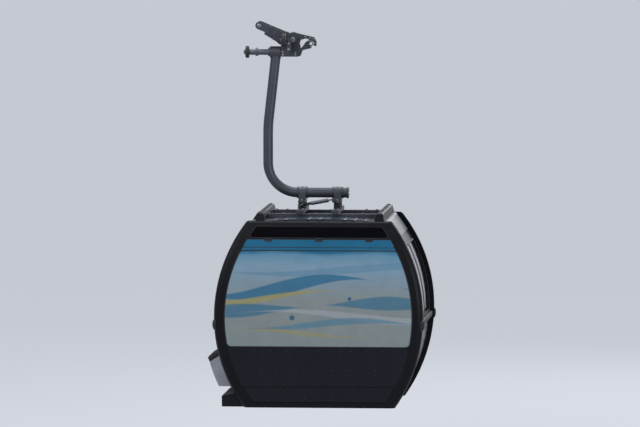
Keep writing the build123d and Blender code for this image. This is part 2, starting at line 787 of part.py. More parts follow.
lever = (coupling_place[0] - hub[0], coupling_place[1] - hub[1])
lever_middle = ((hub[0] + coupling_place[0]) / 2, (hub[1] + coupling_place[1]) / 2)
with BuildPart() as clamp_fork:
    for sign in (-1, 1):
        with BuildSketch(grip_plane.offset(sign * fork_inner)):
            with Locations(lever_middle):
                SlotCenterToCenter(hypot(*lever), fork_width, rotation=degrees(atan2(lever[1], lever[0])))
            with Locations(hub):
                Circle(pin_radius + fit, mode=Mode.SUBTRACT)
        extrude(amount=sign * (fork_outer - fork_inner))
    rod(grip_plane, [coupling_place], coupling_pin, fork_inner + 1, both=True)
save(clamp_fork.part, "clamp_fork")

with BuildPart() as coupling_roller:
    rod(grip_plane, [coupling_place], coupling_radius, fork_inner - running_gap, both=True)
    rod(grip_plane, [coupling_place], coupling_pin + fit, fork_inner, mode=Mode.SUBTRACT, both=True)
save(coupling_roller.part, "coupling_roller")

# Running wheels, and the arms bolted to the grip that carry their axles
arm_near = wheel_place[0] + wheel_width / 2 + wheel_arm_gap
with BuildPart() as wheel_arms:
    for sign in (-1, 1):
        side = sign * (lug_outer + fit)
        outer = sign * (wheel_spread + wheel_arm / 2)
        block(grip_plane.offset(-side), arm_near, arm_near + wheel_arm, wheel_arm_low,
              wheel_arm_low + wheel_arm_beam, side - outer)
        block(grip_plane.offset(-outer), arm_near, arm_near + wheel_arm, wheel_arm_low,
              wheel_place[1] + wheel_arm_rise, sign * wheel_arm)
        rod(across_rope(arm_near, wheel_place[1], sign * wheel_spread), [(0, 0)], axle_radius,
            wheel_place[0] - wheel_width / 2 - axle_end - arm_near)
save(wheel_arms.part, "wheel_arms")

with BuildPart() as running_wheel:
    tread = across_rope(wheel_place[0] - wheel_width / 2, wheel_place[1], -wheel_spread)
    rod(tread, [(0, 0)], wheel_radius, wheel_width)
    rod(tread, [(0, 0)], axle_radius + fit, wheel_width, mode=Mode.SUBTRACT)
save_pair(running_wheel.part, "running_wheel")

with BuildPart() as guide_roller:
    tread = across_rope(guide_place - guide_width / 2, -pivot_drop)
    rod(tread, [(0, 0)], guide_radius, guide_width)
    rod(tread, [(0, 0)], guide_axle_radius + fit, guide_width, mode=Mode.SUBTRACT)
save(guide_roller.part, "guide_roller")
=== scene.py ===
import logging
import math
from dataclasses import dataclass
from enum import Enum
from functools import cache
from typing import Callable, Sequence

import bmesh
import bpy
import numpy as np
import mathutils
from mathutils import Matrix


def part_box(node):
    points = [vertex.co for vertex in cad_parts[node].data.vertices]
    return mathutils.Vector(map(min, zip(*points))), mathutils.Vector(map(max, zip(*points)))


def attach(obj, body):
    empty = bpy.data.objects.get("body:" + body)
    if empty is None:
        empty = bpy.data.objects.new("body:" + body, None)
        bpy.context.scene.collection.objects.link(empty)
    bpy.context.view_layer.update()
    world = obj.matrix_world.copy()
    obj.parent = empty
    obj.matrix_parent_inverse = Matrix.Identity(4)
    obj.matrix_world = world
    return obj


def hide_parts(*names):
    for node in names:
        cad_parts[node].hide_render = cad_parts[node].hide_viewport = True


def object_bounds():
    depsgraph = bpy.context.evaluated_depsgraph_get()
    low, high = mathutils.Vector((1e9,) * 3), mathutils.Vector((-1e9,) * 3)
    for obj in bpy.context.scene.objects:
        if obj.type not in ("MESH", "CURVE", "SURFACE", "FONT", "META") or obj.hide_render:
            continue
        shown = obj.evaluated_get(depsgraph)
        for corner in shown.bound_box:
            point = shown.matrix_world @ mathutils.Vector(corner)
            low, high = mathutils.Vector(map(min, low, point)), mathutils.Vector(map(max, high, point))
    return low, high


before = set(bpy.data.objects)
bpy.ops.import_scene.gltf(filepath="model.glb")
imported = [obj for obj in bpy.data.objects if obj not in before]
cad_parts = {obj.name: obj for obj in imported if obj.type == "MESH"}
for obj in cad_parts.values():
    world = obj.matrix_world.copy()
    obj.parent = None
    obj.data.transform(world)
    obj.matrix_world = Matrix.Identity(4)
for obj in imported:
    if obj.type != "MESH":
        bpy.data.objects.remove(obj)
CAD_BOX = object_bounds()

LOG = logging.getLogger("gondola")
Array = np.ndarray
Number = float | np.ndarray
Pair = tuple[float, float]
Vector3 = tuple[float, float, float]
Colour = tuple[float, float, float]
Profile = Sequence[Pair] | np.ndarray
Edge = Callable[[Number], Array]
Output = bpy.types.NodeSocket
ScrewRow = tuple[float, float, int, float, float]
BoltRow = tuple[float, float, tuple[Pair, ...]]
Vector = type(CAD_BOX[0])
SIDES = (-1, 1)


class Body(Enum):
    """The moving bodies that pieces ride on."""

    GRIP = "grip"
    JAW = "jaw"
    CARRIER = "carrier"
    DOOR_REAR = "door_rear"
    DOOR_FRONT = "door_front"
    COUPLING = "coupling_roller"
    GUIDE = "guide_roller"
    WHEEL_REAR = "running_wheel_rear"
    WHEEL_FRONT = "running_wheel_front"


class Wall(Enum):
    """The cabin's four walls: whether the wall is an end, and its side of the middle."""

    REAR = (True, -1)
    FRONT = (True, 1)
    DOORS = (False, -1)
    BLIND = (False, 1)

    def __init__(self, is_end: bool, sign: int) -> None:
        """Keeps what the value says."""
        self.is_end, self.sign = is_end, sign


class End(Enum):
    """The cabin's two ends: the end's wall, and the body of the door leaf beside it."""

    REAR = (Wall.REAR, Body.DOOR_REAR)
    FRONT = (Wall.FRONT, Body.DOOR_FRONT)

    def __init__(self, wall: Wall, door: Body) -> None:
        """Keeps what the value says, with the word that names end with."""
        self.wall, self.door, self.label = wall, door, wall.name.lower()


def rgb(red: int, green: int, blue: int) -> Colour:
    """A colour as it looks on screen, 0 to 255, turned into linear light."""
    values = np.array((red, green, blue)) / 255.0
    linear = np.where(values <= 0.04045, values / 12.92, ((values + 0.055) / 1.055) ** 2.4)
    return tuple(float(v) for v in linear)


def unit(vectors: Array) -> Array:
    """Vectors divided by their lengths."""
    return vectors / np.linalg.norm(vectors, axis=-1, keepdims=True)


def points(*parts: Number | Sequence[float]) -> Array:
    """Coordinates given one by one, fitted to each other and put in the last dimension."""
    return np.stack(np.broadcast_arrays(*parts), axis=-1)


def column(values: Number | Sequence[float]) -> Array:
    """Numbers one below the other."""
    return np.asarray(values, float)[:, None]


# The cabin's shape


@dataclass(frozen=True)
class Section:
    """One outline of the cabin: half the span at the waist, and the radius of the side through it."""

    span: float
    radius: float
    waist: float = 1.050

    def at(self, height: Number, inset: Number = 0.0) -> Array:
        """Half the span at a height.

        The side is an arc: the span less the radius, plus the root of the square of the radius less the
        inset, less the square of the height above the waist.

        Args:
            height: above the cabin's underside.
            inset: how far inside the outline.

        Returns:
            The half span.
        """
        rise = np.asarray(height) - self.waist
        return self.span - self.radius + np.sqrt((self.radius - inset) ** 2 - rise ** 2)

    def lean(self, height: Number) -> Array:
        """How far the outward direction tilts up: the rise over the waist, over the arc's width there."""
        rise = np.asarray(height) - self.waist
        return rise / np.sqrt(self.radius ** 2 - rise ** 2)


@dataclass(frozen=True)
class Cabin:
    """Where the cabin hangs: its middle, its underside and its two outlines."""

    middle: float
    base: float
    across: Section
    along: Section

    @classmethod
    def read(cls) -> "Cabin":
        """The cabin as the frame's rear end ring has it."""
        low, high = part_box("end_frame_rear")
        side, end = Section((high.x - low.x) / 2, radius=1.825), Section(-low.y, radius=3.900)
        return cls((low.x + high.x) / 2, low.z, side, end)

    def spot(self, across: Number, along: Number, height: Number) -> Array:
        """Points given from the cabin's middle and underside."""
        return points(across, along, height) + (self.middle, 0.0, self.base)

    def on(self, wall: Wall, place: Number, height: Number, inset: Number) -> Array:
        """Points on a wall.

        Args:
            wall: which wall.
            place: sideways along the wall, from the cabin's middle.
            height: above the underside.
            inset: how far inside the cabin's outline, less than nothing outside it.

        Returns:
            The points, with x, y and z in the last dimension.
        """
        section = self.along if wall.is_end else self.across
        depth = wall.sign * section.at(height, inset)
        return self.spot(place, depth, height) if wall.is_end else self.spot(depth, place, height)

    def outward(self, wall: Wall, height: Number) -> Array:
        """The directions straight out of a wall at some heights."""
        if wall.is_end:
            return unit(points(0.0, wall.sign, self.along.lean(height)))
        return unit(points(wall.sign, 0.0, self.across.lean(height)))


CABIN = Cabin.read()


# Meshes as arrays


@dataclass(frozen=True)
class Shell:
    """A mesh in the making: rows of corners, and arrays of faces that have the same number of corners."""

    corners: Array
    faces: tuple[Array, ...]

    @classmethod
    def grid(cls, rings: Array, wrap_rows: bool = False, caps: bool = False) -> "Shell":
        """Joins rings of points: each point to the next in its ring, and each ring to the next.

        Args:
            rings: rows of closed rings of points.
            wrap_rows: whether the last ring joins the first.
            caps: whether the first and last rings are closed by a face each.

        Returns:
            The shell.
        """
        numbers = np.arange(rings[..., 0].size).reshape(rings.shape[:2])
        right = np.roll(numbers, -1, axis=1)
        quads = np.stack((numbers, right, np.roll(right, -1, axis=0), np.roll(numbers, -1, axis=0)), axis=-1)
        faces = [(quads if wrap_rows else quads[:-1]).reshape(-1, 4)]
        if caps:
            faces += [numbers[:1, ::-1], numbers[-1:]]
        return cls(rings.reshape(-1, 3), tuple(faces))

    @classmethod
    def join(cls, *shells: "Shell") -> "Shell":
        """Several shells as one."""
        starts = np.cumsum([0] + [len(shell.corners) for shell in shells[:-1]])
        faces = tuple(face + start for shell, start in zip(shells, starts) for face in shell.faces)
        return cls(np.concatenate([shell.corners for shell in shells]), faces)

    def spread(self, places: Array | Sequence, turns: Array | None = None) -> "Shell":
        """Copies at many places: a copy's corner is its turn times the corner, plus its place.

        Args:
            places: where each copy goes.
            turns: a turn for each copy, or one for all.

        Returns:
            The copies as one shell.
        """
        places = np.asarray(places, float).reshape(-1, 3)
        turns = np.broadcast_to(np.eye(3) if turns is None else turns, (len(places), 3, 3))
        corners = np.einsum("kij,nj->kni", turns, self.corners) + places[:, None]
        steps = np.arange(len(places))[:, None, None] * len(self.corners)
        faces = tuple((face[None] + steps).reshape(-1, face.shape[1]) for face in self.faces)
        return Shell(corners.reshape(-1, 3), faces)


def facing(directions: Sequence[float] | Array) -> Array:
    """Turns that carry +Z to each direction; their columns are two directions across it, and itself."""
    ahead = unit(np.asarray(directions, float).reshape(-1, 3))
    helper = np.where(np.abs(ahead[:, 2:]) < 0.9, (0.0, 0.0, 1.0), (1.0, 0.0, 0.0))
    side = unit(np.cross(helper, ahead))
    return np.stack((side, np.cross(ahead, side), ahead), axis=-1)


def spokes(count: int, start: float = 0.0) -> Array:
    """The cosine and sine of even steps round a circle, from a start in degrees."""
    angle = np.linspace(0, 2 * np.pi, count, endpoint=False) + math.radians(start)
    return points(np.cos(angle), np.sin(angle))


def lathe(profile: Profile, sides: int = 32, wrap: bool = False, size: float = 1.0) -> Shell:
    """A profile turned about +Z: x is the radius times the cosine, y the radius times the sine.

    Args:
        profile: radius and height of each point.
        sides: how many steps round.
        wrap: whether the profile is a loop, as in a tyre; otherwise it starts and ends on the axis.
        size: what the profile is multiplied by.

    Returns:
        The turned shell.
    """
    radius, height = (np.asarray(profile, float) * size).T[:, :, None]
    cosine, sine = spokes(sides).T
    return Shell.grid(points(radius * cosine, radius * sine, height), wrap_rows=wrap)


def both_sides(low: float, high: float, *side: Pair, middle: Sequence[Pair] = ()) -> list[Pair]:
    """A profile that is alike at both ends.

    Args:
        low: the height that the lower end is measured from.
        high: the height that the upper end is measured down from.
        *side: radius, and height from its end, of each point of an end.
        middle: radius and height of the points between.

    Returns:
        Radius and height of each point.
    """
    return [*((r, low + h) for r, h in side), *middle, *((r, high - h) for r, h in side[::-1])]


def half_round(width: float, rise: float, foot: float = 0.002, steps: int = 7) -> Array:
    """A closed profile: half an ellipse of that width and rise, on a foot that reaches under the surface."""
    angle = np.linspace(0, np.pi, steps)
    top = points(width / 2 * np.cos(angle), rise * np.sin(angle))
    return np.concatenate((top, ((-width / 2, -foot), (width / 2, -foot))))


def circle(radius: float, steps: int = 10) -> Array:
    """A round profile: radius times cosine and sine."""
    return radius * spokes(steps)


def sweep(path: Array, profile: Array, up: Sequence[float], closed: bool = False) -> Shell:
    """A profile carried along a path: path plus its first number sideways plus its second upwards.

    Args:
        path: the points of the path.
        profile: a closed loop of points across the path.
        up: a direction that is nowhere along the path.
        closed: whether the path's end joins its start.

    Returns:
        The swept shell.
    """
    ahead = np.roll(path, -1, axis=0) - np.roll(path, 1, axis=0) if closed else np.gradient(path, axis=0)
    side = unit(np.cross(unit(ahead), up))
    above = np.cross(side, unit(ahead))
    rings = path[:, None] + profile[:, :1] * side[:, None] + profile[:, 1:] * above[:, None]
    return Shell.grid(rings, wrap_rows=closed, caps=not closed)


def bent_path(nodes: Array, bend: float, steps: int = 6) -> Array:
    """A path with its corners rounded.

    Each corner becomes a curve from a bend's length before it to the same after it: the weighted mean of the
    start, corner and end, with weights of one less t squared, twice t times one less t, and t squared.

    Args:
        nodes: the path's points.
        bend: how far from a corner the curve starts.
        steps: points in each curve.

    Returns:
        The rounded path.
    """
    before = nodes[1:-1] + bend * unit(nodes[:-2] - nodes[1:-1])
    after = nodes[1:-1] + bend * unit(nodes[2:] - nodes[1:-1])
    t = np.linspace(0, 1, steps)[None, :, None]
    curves = before[:, None] * (1 - t) ** 2 + nodes[1:-1, None] * 2 * t * (1 - t) + after[:, None] * t ** 2
    return np.concatenate((nodes[:1], curves.reshape(-1, 3), nodes[-1:]))


def normals(outline: Array) -> Array:
    """The directions straight out of a closed anticlockwise outline."""
    ahead = unit(np.roll(outline, -1, axis=0) - np.roll(outline, 1, axis=0))
    return points(ahead[:, 1], -ahead[:, 0])


def plate(outline: Array, thickness: float, bevel: float) -> Shell:
    """A flat outline given a thickness along +Z, with its upper edge drawn in by the bevel."""
    rings = [points(*(outline + grow * normals(outline)).T, level)
             for grow, level in ((0, 0), (0, thickness - bevel), (-bevel, thickness))]
    return Shell.grid(np.stack(rings), caps=True)


def rounded_oblong(width: float, length: float, radius: float, steps: int = 5) -> Array:
    """An oblong with round corners: a corner's centre plus the radius times cosine and sine."""
    angle = np.linspace(0, np.pi / 2, steps) + column(range(4)) * np.pi / 2
    signs = np.array(((1, 1), (-1, 1), (-1, -1), (1, -1)))[:, None]
    centres = signs * (width / 2 - radius, length / 2 - radius)
    return (centres + radius * points(np.cos(angle), np.sin(angle))).reshape(-1, 2)


def swage(length: float, width: float, rise: float) -> Shell:
    """A pressed ridge along +Y with both ends run out: a half-round profile, scaled by the fourth root of one
    less the place to the eighth."""
    place = column(np.sin(np.linspace(-np.pi / 2, np.pi / 2, 15)))
    scale = (1 - place ** 8) ** 0.25
    across, level = half_round(width, rise).T
    return Shell.grid(points(across * scale, length / 2 * place, level * scale))


def cushion(width: float, length: float, rise: float) -> Shell:
    """A crowned pad: a round-cornered oblong drawn in to its middle by a share, and raised by the root of one
    less the share to the sixth."""
    corner_radius, foot = 0.05, 0.001
    share = column(np.append(0.0, np.cos(np.linspace(0, np.pi / 2, 10))))
    level = rise * np.sqrt(1 - share ** 6) - foot
    level[0] = -foot
    across, along = rounded_oblong(width, length, corner_radius).T
    return Shell.grid(points(across * share, along * share, level))


def hex_bolt(size: float) -> Shell:
    """A washer under a bevelled hexagonal head; the size is the head's radius at its corners."""
    washer = ((0, 0), (1.35, 0), (1.35, 0.14), (1.25, 0.2), (0, 0.2))
    head = ((0, 0.15), (0.96, 0.2), (1, 0.28), (1, 0.78), (0.86, 0.9), (0, 0.9))
    return Shell.join(lathe(washer, 16, size=size), lathe(head, 6, size=size))


def button_screw(size: float) -> Shell:
    """A low domed screw head with a socket; the size is its radius."""
    return lathe(((0, -0.3), (0.95, -0.3), (1, 0.05), (0.88, 0.32), (0.62, 0.5), (0.4, 0.54), (0.36, 0.2),
                  (0, 0.18)), 14, size=size)


@dataclass(frozen=True)
class Opening:
    """A pane's edge in its wall: its sides, its lower and upper edge, corner radius and surface."""

    wall: Wall
    left: Edge
    right: Edge
    low: float
    high: float
    radius: float
    inset: float = 0.0

    def arc(self, edge: Edge, height: float, flat: int, up: int, steps: int = 7) -> Array:
        """The arc at one corner, which touches the level edge and the side.

        It starts before the corner by the radius times the tangent of half its turn. Its points are that
        start, plus the radius times the sine along the first side, plus the radius times one less the cosine
        square to it. Going round anticlockwise, the level edge comes first where flat and up are equal.

        Args:
            edge: the side.
            height: the level edge's height.
            flat: the way of the level edge, 1 to the right.
            up: the way of the side, 1 upwards.
            steps: points in the arc.

        Returns:
            Places and heights.
        """
        step = 1e-4
        slope = float(edge(height + step) - edge(height - step)) / (2 * step)
        ways = [np.array((float(flat), 0.0)), up * unit(np.array((slope, 1.0)))]
        first, second = ways if flat == up else ways[::-1]
        turn = math.acos(float(first @ second))
        angle = column(np.linspace(0, turn, steps))
        start = np.array((float(edge(height)), height)) - self.radius * math.tan(turn / 2) * first
        square = np.array((-first[1], first[0]))
        return start + self.radius * (np.sin(angle) * first + (1 - np.cos(angle)) * square)

    def outline(self, rows: int = 21) -> Array:
        """The edge as a closed anticlockwise path of places and heights, with points up each side."""
        arcs = [self.arc(self.right, self.low, 1, 1), self.arc(self.right, self.high, -1, 1),
                self.arc(self.left, self.high, -1, -1), self.arc(self.left, self.low, 1, -1)]
        up = np.linspace(arcs[0][-1, 1], arcs[1][0, 1], rows)[1:-1]
        down = np.linspace(arcs[2][-1, 1], arcs[3][0, 1], rows)[1:-1]
        return np.concatenate((arcs[0], points(self.right(up), up), arcs[1], arcs[2],
                               points(self.left(down), down), arcs[3]))

    def bead(self, profile: Array) -> Shell:
        """A profile carried round the edge: its first number goes outwards, its second out of the wall."""
        path = self.outline()
        flat = path[:, None] + profile[:, :1] * normals(path)[:, None]
        rings = CABIN.on(self.wall, flat[..., 0], flat[..., 1], self.inset - profile[:, 1])
        return Shell.grid(rings, wrap_rows=True)


def straight(place: float) -> Edge:
    """An upright edge at one place."""
    return lambda height: np.full_like(np.asarray(height, float), place)


def curved(section: Section, inset: float, sign: int) -> Edge:
    """An edge that follows an outline of the cabin."""
    return lambda height: sign * section.at(height, inset)


def drawn_in(rows: int) -> Array:
    """The share of its size that a strip has along it: three quarters at its ends, and all between."""
    return column((0.75, *(1,) * (rows - 2), 0.75))


def rail(wall: Wall, start: float, stop: float, height: float, inset: float, profile: Array) -> Shell:
    """A strip along a wall at one height, its ends drawn in: the profile goes up and out of the wall."""
    bevel = 0.003
    places, scale = column((start, start + bevel, stop - bevel, stop)), drawn_in(4)
    rings = CABIN.on(wall, places, height + profile[:, 0] * scale, inset - profile[:, 1] * scale)
    return Shell.grid(rings, caps=True)


def stave(wall: Wall, place: float, low: float, high: float, inset: float, profile: Array) -> Shell:
    """A strip up a wall at one place, its ends drawn in: the profile goes sideways and out of the wall."""
    heights, scale = column(np.linspace(low, high, 9)), drawn_in(9)
    rings = CABIN.on(wall, place + profile[:, 0] * scale, heights, inset - profile[:, 1] * scale)
    return Shell.grid(rings, caps=True)


def bumper_ribs(wall: Wall, start: float, stop: float, height: float, inset: float) -> list[Shell]:
    """Two thin ribs along a bumper's face, above and below its middle."""
    profile = half_round(0.010, 0.0022)
    return [rail(wall, start, stop, height + rise, inset, profile) for rise in (-0.019, 0.019)]


def screws(wall: Wall, size: float, places: Number, heights: Number, inset: float) -> Shell:
    """Screws on a wall, standing straight out of it."""
    places, heights = np.broadcast_arrays(places, heights)
    return button_screw(size).spread(CABIN.on(wall, places, heights, inset),
                                     facing(CABIN.outward(wall, heights)))


def screw_rows(wall: Wall, rows: Sequence[ScrewRow], middle: float = 0.0) -> list[Shell]:
    """Level rows of screws on a wall: each says its size, half length, count, height and inset."""
    return [screws(wall, size, middle + np.linspace(-half, half, count), height, inset)
            for size, half, count, height, inset in rows]


# Node trees


class Graph:
    """A short way to add nodes to one tree and join them."""

    def __init__(self, tree: bpy.types.NodeTree) -> None:
        """Keeps the tree."""
        self.tree = tree

    def feed(self, node: bpy.types.Node, inputs: dict) -> None:
        """Sets each input, by name or number, to a value, or joins it to another node's output."""
        for key, value in inputs.items():
            if isinstance(value, Output):
                self.tree.links.new(value, node.inputs[key])
            else:
                node.inputs[key].default_value = value

    def node(self, kind: str, inputs: dict | None = None, **settings: object) -> bpy.types.Node:
        """Adds a node.

        Args:
            kind: the node's type name, without the word ShaderNode before it.
            inputs: socket name or number to a value or to another node's output.
            settings: properties of the node.

        Returns:
            The new node.
        """
        made = self.tree.nodes.new(f"ShaderNode{kind}")
        for key, value in settings.items():
            setattr(made, key, value)
        self.feed(made, inputs or {})
        return made

    def value(self, kind: str, output: str | int, inputs: dict | None = None, **settings: object) -> Output:
        """One output of a new node."""
        return self.node(kind, inputs, **settings).outputs[output]

    def math(self, operation: str, *values: object) -> Output:
        """One Math node's result."""
        return self.value("Math", 0, dict(enumerate(values)), operation=operation)

    def ranged(self, value: object, low: object, high: object, out_low: float = 0.0, out_high: float = 1.0,
               kind: str = "LINEAR") -> Output:
        """A value's share of the way from low to high."""
        inputs = {"Value": value, "From Min": low, "From Max": high, "To Min": out_low, "To Max": out_high}
        return self.value("MapRange", "Result", inputs, interpolation_type=kind)

    def smooth(self, value: object, low: float, high: float, top: float = 1.0) -> Output:
        """A smooth step of a value from low to high, up to the top."""
        return self.ranged(value, low, high, 0.0, top, "SMOOTHSTEP")

    def mix(self, factor: object, first: object, second: object) -> Output:
        """Two colours mixed by a factor."""
        colours = [given if isinstance(given, Output) else (*given, 1.0) for given in (first, second)]
        return self.value("Mix", 2, {0: factor, 6: colours[0], 7: colours[1]}, data_type="RGBA")

    def place(self, scale: object = (1, 1, 1)) -> Output:
        """Object coordinates in metres, scaled."""
        return self.value("Mapping", 0, {"Vector": self.value("TexCoord", "Object"), "Scale": scale})

    def noise(self, scale: object, detail: float = 3.0, stretch: object = (1, 1, 1)) -> Output:
        """A noise value on object coordinates."""
        inputs = {"Vector": self.place(stretch), "Scale": scale, "Detail": detail}
        return self.value("TexNoise", "Fac", inputs)

    def sine(self, value: Output, rate: float, phase: float) -> Output:
        """The sine of a value times a rate, plus a phase."""
        return self.math("SINE", self.math("MULTIPLY_ADD", value, rate, phase))

    def dots(self, first: Output, second: Output, pitch: float) -> Output:
        """The shared mask of dots on two of the coordinates."""
        inputs = {"First": first, "Second": second, "Pitch": pitch}
        return self.value("Group", "Mask", inputs, node_tree=dots_group())


def open_group(name: str, inputs: dict[str, object]) -> tuple[Graph, dict[str, Output]]:
    """Starts a shader node group.

    Args:
        name: the group's name.
        inputs: each input's default, which is a colour of four numbers, a vector of three, or one number.

    Returns:
        A graph on the group, and its inputs by name.
    """
    graph = Graph(bpy.data.node_groups.new(name, "ShaderNodeTree"))
    kinds = {4: "NodeSocketColor", 3: "NodeSocketVector", 1: "NodeSocketFloat"}
    for label, default in inputs.items():
        kind = kinds[np.size(default)]
        graph.tree.interface.new_socket(name=label, in_out="INPUT", socket_type=kind).default_value = default
    return graph, dict(graph.tree.nodes.new("NodeGroupInput").outputs)


def close_group(graph: Graph, number: dict[str, Output], colour: dict[str, Output]) -> bpy.types.NodeTree:
    """Gives a group its outputs, numbers and colours by name, and returns the group."""
    for kind, outputs in (("NodeSocketColor", colour), ("NodeSocketFloat", number)):
        for label in outputs:
            graph.tree.interface.new_socket(name=label, in_out="OUTPUT", socket_type=kind)
    graph.feed(graph.tree.nodes.new("NodeGroupOutput"), colour | number)
    return graph.tree


@cache
def weather_group() -> bpy.types.NodeTree:
    """Colour that varies a little over the surface, with dust, faint streaks and worn specks.

    Mottling is a noise about one, times the colour. Streaks are a noise stretched along Z. Dust grows towards
    the underside. Wear is where a fine noise passes a limit, and there the wear colour shows.

    Returns:
        The node group.
    """
    grey = (0.3, 0.3, 0.3, 1)
    graph, given = open_group("weather", {
        "Colour": grey, "Dust colour": grey, "Wear colour": grey, "Mottling": 0.1, "Mottle scale": 6.0,
        "Dust": 0.1, "Wear": 0.0, "Roughness": 0.4, "Low": -4.2, "High": -2.8})
    shade = graph.ranged(graph.noise(given["Mottle scale"], 5.0), 0.3, 0.7, -1.0, 1.0)
    bright = graph.math("ADD", 1.0, graph.math("MULTIPLY", shade, given["Mottling"]))
    toned = graph.value("VectorMath", "Vector", {0: given["Colour"], "Scale": bright}, operation="SCALE")
    streaks = graph.smooth(graph.noise(9.0, 4.0, (1, 1, 0.08)), 0.45, 0.75)
    height = graph.value("SeparateXYZ", "Z", {0: graph.place()})
    low_down = graph.ranged(height, given["High"], given["Low"])
    dusty = graph.math("MULTIPLY", graph.math("MULTIPLY_ADD", streaks, 0.6, low_down), given["Dust"])
    dusty = graph.value("Clamp", 0, {"Value": dusty})
    specks = graph.smooth(graph.noise(55.0, 6.0), 0.60, 0.66)
    patches = graph.smooth(graph.noise(7.0), 0.45, 0.65)
    worn = graph.math("MULTIPLY", graph.math("MULTIPLY", specks, patches), given["Wear"])
    colour = graph.mix(worn, graph.mix(dusty, toned, given["Dust colour"]), given["Wear colour"])
    rough = graph.math("ADD", given["Roughness"], graph.math("MULTIPLY", dusty, 0.5))
    rough = graph.math("ADD", rough, graph.math("MULTIPLY", shade, 0.03))
    return close_group(graph, {"Roughness": rough}, {"Colour": colour})


@cache
def grain_group() -> bpy.types.NodeTree:
    """Heights for a bump: a fine grain, stretched where it is brushed, and a broad waviness."""
    graph, given = open_group("grain", {"Scale": 400.0, "Waviness": 0.2, "Stretch": (1, 1, 1)})
    broad = graph.math("MULTIPLY", graph.noise(3.0, 2.0), given["Waviness"])
    fine = graph.noise(given["Scale"], 2.0, given["Stretch"])
    return close_group(graph, {"Height": graph.math("ADD", fine, broad)}, {})


@cache
def dots_group() -> bpy.types.NodeTree:
    """A mask of round dots in rows: where the distance from a cell's middle is under a third of the pitch."""
    graph, given = open_group("dots", {"First": 0.0, "Second": 0.0, "Pitch": 0.02})
    squares = []
    for name in ("First", "Second"):
        share = graph.math("FRACT", graph.math("DIVIDE", given[name], given["Pitch"]))
        cell = graph.math("SUBTRACT", share, 0.5)
        squares.append(graph.math("MULTIPLY", cell, cell))
    far = graph.math("SQRT", graph.math("ADD", *squares))
    return close_group(graph, {"Mask": graph.smooth(far, 0.34, 0.24)}, {})


# Finishes


@dataclass(frozen=True)
class Finish:
    """One surface finish: paint, rubber, plastic, metal or glass."""

    name: str
    slot: str
    colour: Colour
    roughness: float
    metallic: float = 0.0
    coat: float = 0.0
    mottling: float = 0.08
    mottle_scale: float = 6.0
    dust: float = 0.10
    wear: float = 0.0
    grain_scale: float = 500.0
    grain_height: float = 0.0002
    stretch: Vector3 = (1, 1, 1)
    waviness: float = 0.0
    transmission: float = 0.0
    specular: float = 0.5
    dust_colour: Colour = rgb(120, 124, 132)
    wear_colour: Colour = rgb(120, 122, 128)

    def material(self) -> bpy.types.Material:
        """The material, made on first use."""
        return bpy.data.materials.get(self.name) or self.build()

    def build(self) -> bpy.types.Material:
        """Makes the material from the shared groups."""
        made = bpy.data.materials.new(self.name)
        made.use_nodes = True
        graph = Graph(made.node_tree)
        weather = graph.node("Group", {
            "Colour": self.tint(graph), "Mottling": self.mottling, "Mottle scale": self.mottle_scale,
            "Dust": self.dust, "Dust colour": (*self.dust_colour, 1), "Wear": self.wear,
            "Wear colour": (*self.wear_colour, 1), "Roughness": self.roughness},
            node_tree=weather_group()).outputs
        relief = {"Height": self.relief(graph), "Strength": 1.0, "Distance": self.grain_height}
        bump = graph.value("Bump", 0, relief)
        graph.feed(made.node_tree.nodes["Principled BSDF"], {
            "Metallic": self.metallic, "Coat Weight": self.coat, "Coat Roughness": 0.06,
            "Specular IOR Level": self.specular, "Transmission Weight": self.transmission,
            "Base Color": weather["Colour"], "Roughness": weather["Roughness"], "Normal": bump})
        return made

    def tint(self, graph: Graph) -> object:
        """The colour before weathering."""
        return (*self.colour, 1)

    def relief(self, graph: Graph) -> Output:
        """The bump's height: the shared grain with this finish's own values."""
        inputs = {"Scale": self.grain_scale, "Waviness": self.waviness, "Stretch": self.stretch}
        return graph.value("Group", "Height", inputs, node_tree=grain_group())


@dataclass(frozen=True)
class StuddedRubber(Finish):
    """Rubber with rows of low round studs."""

    pitch: float = 0.024

    def relief(self, graph: Graph) -> Output:
        """Studs with the grain on them."""
        place = graph.node("SeparateXYZ", {0: graph.place()}).outputs
        studs = graph.dots(place["X"], place["Y"], self.pitch)
        return graph.math("MULTIPLY_ADD", super().relief(graph), 0.15, studs)


@dataclass(frozen=True)
class Ribbon:
    """A wavy stroke of the window print, which swells and thins as it goes across."""

    height: float
    swing: float
    rate: float
    phase: float
    half_width: float
    swell_rate: float
    swell_phase: float
    colour: Colour
    strength: float = 0.8


@dataclass(frozen=True)
class Disc:
    """A soft round spot of the window print."""

    across: float
    height: float
    radius: float
    colour: Colour


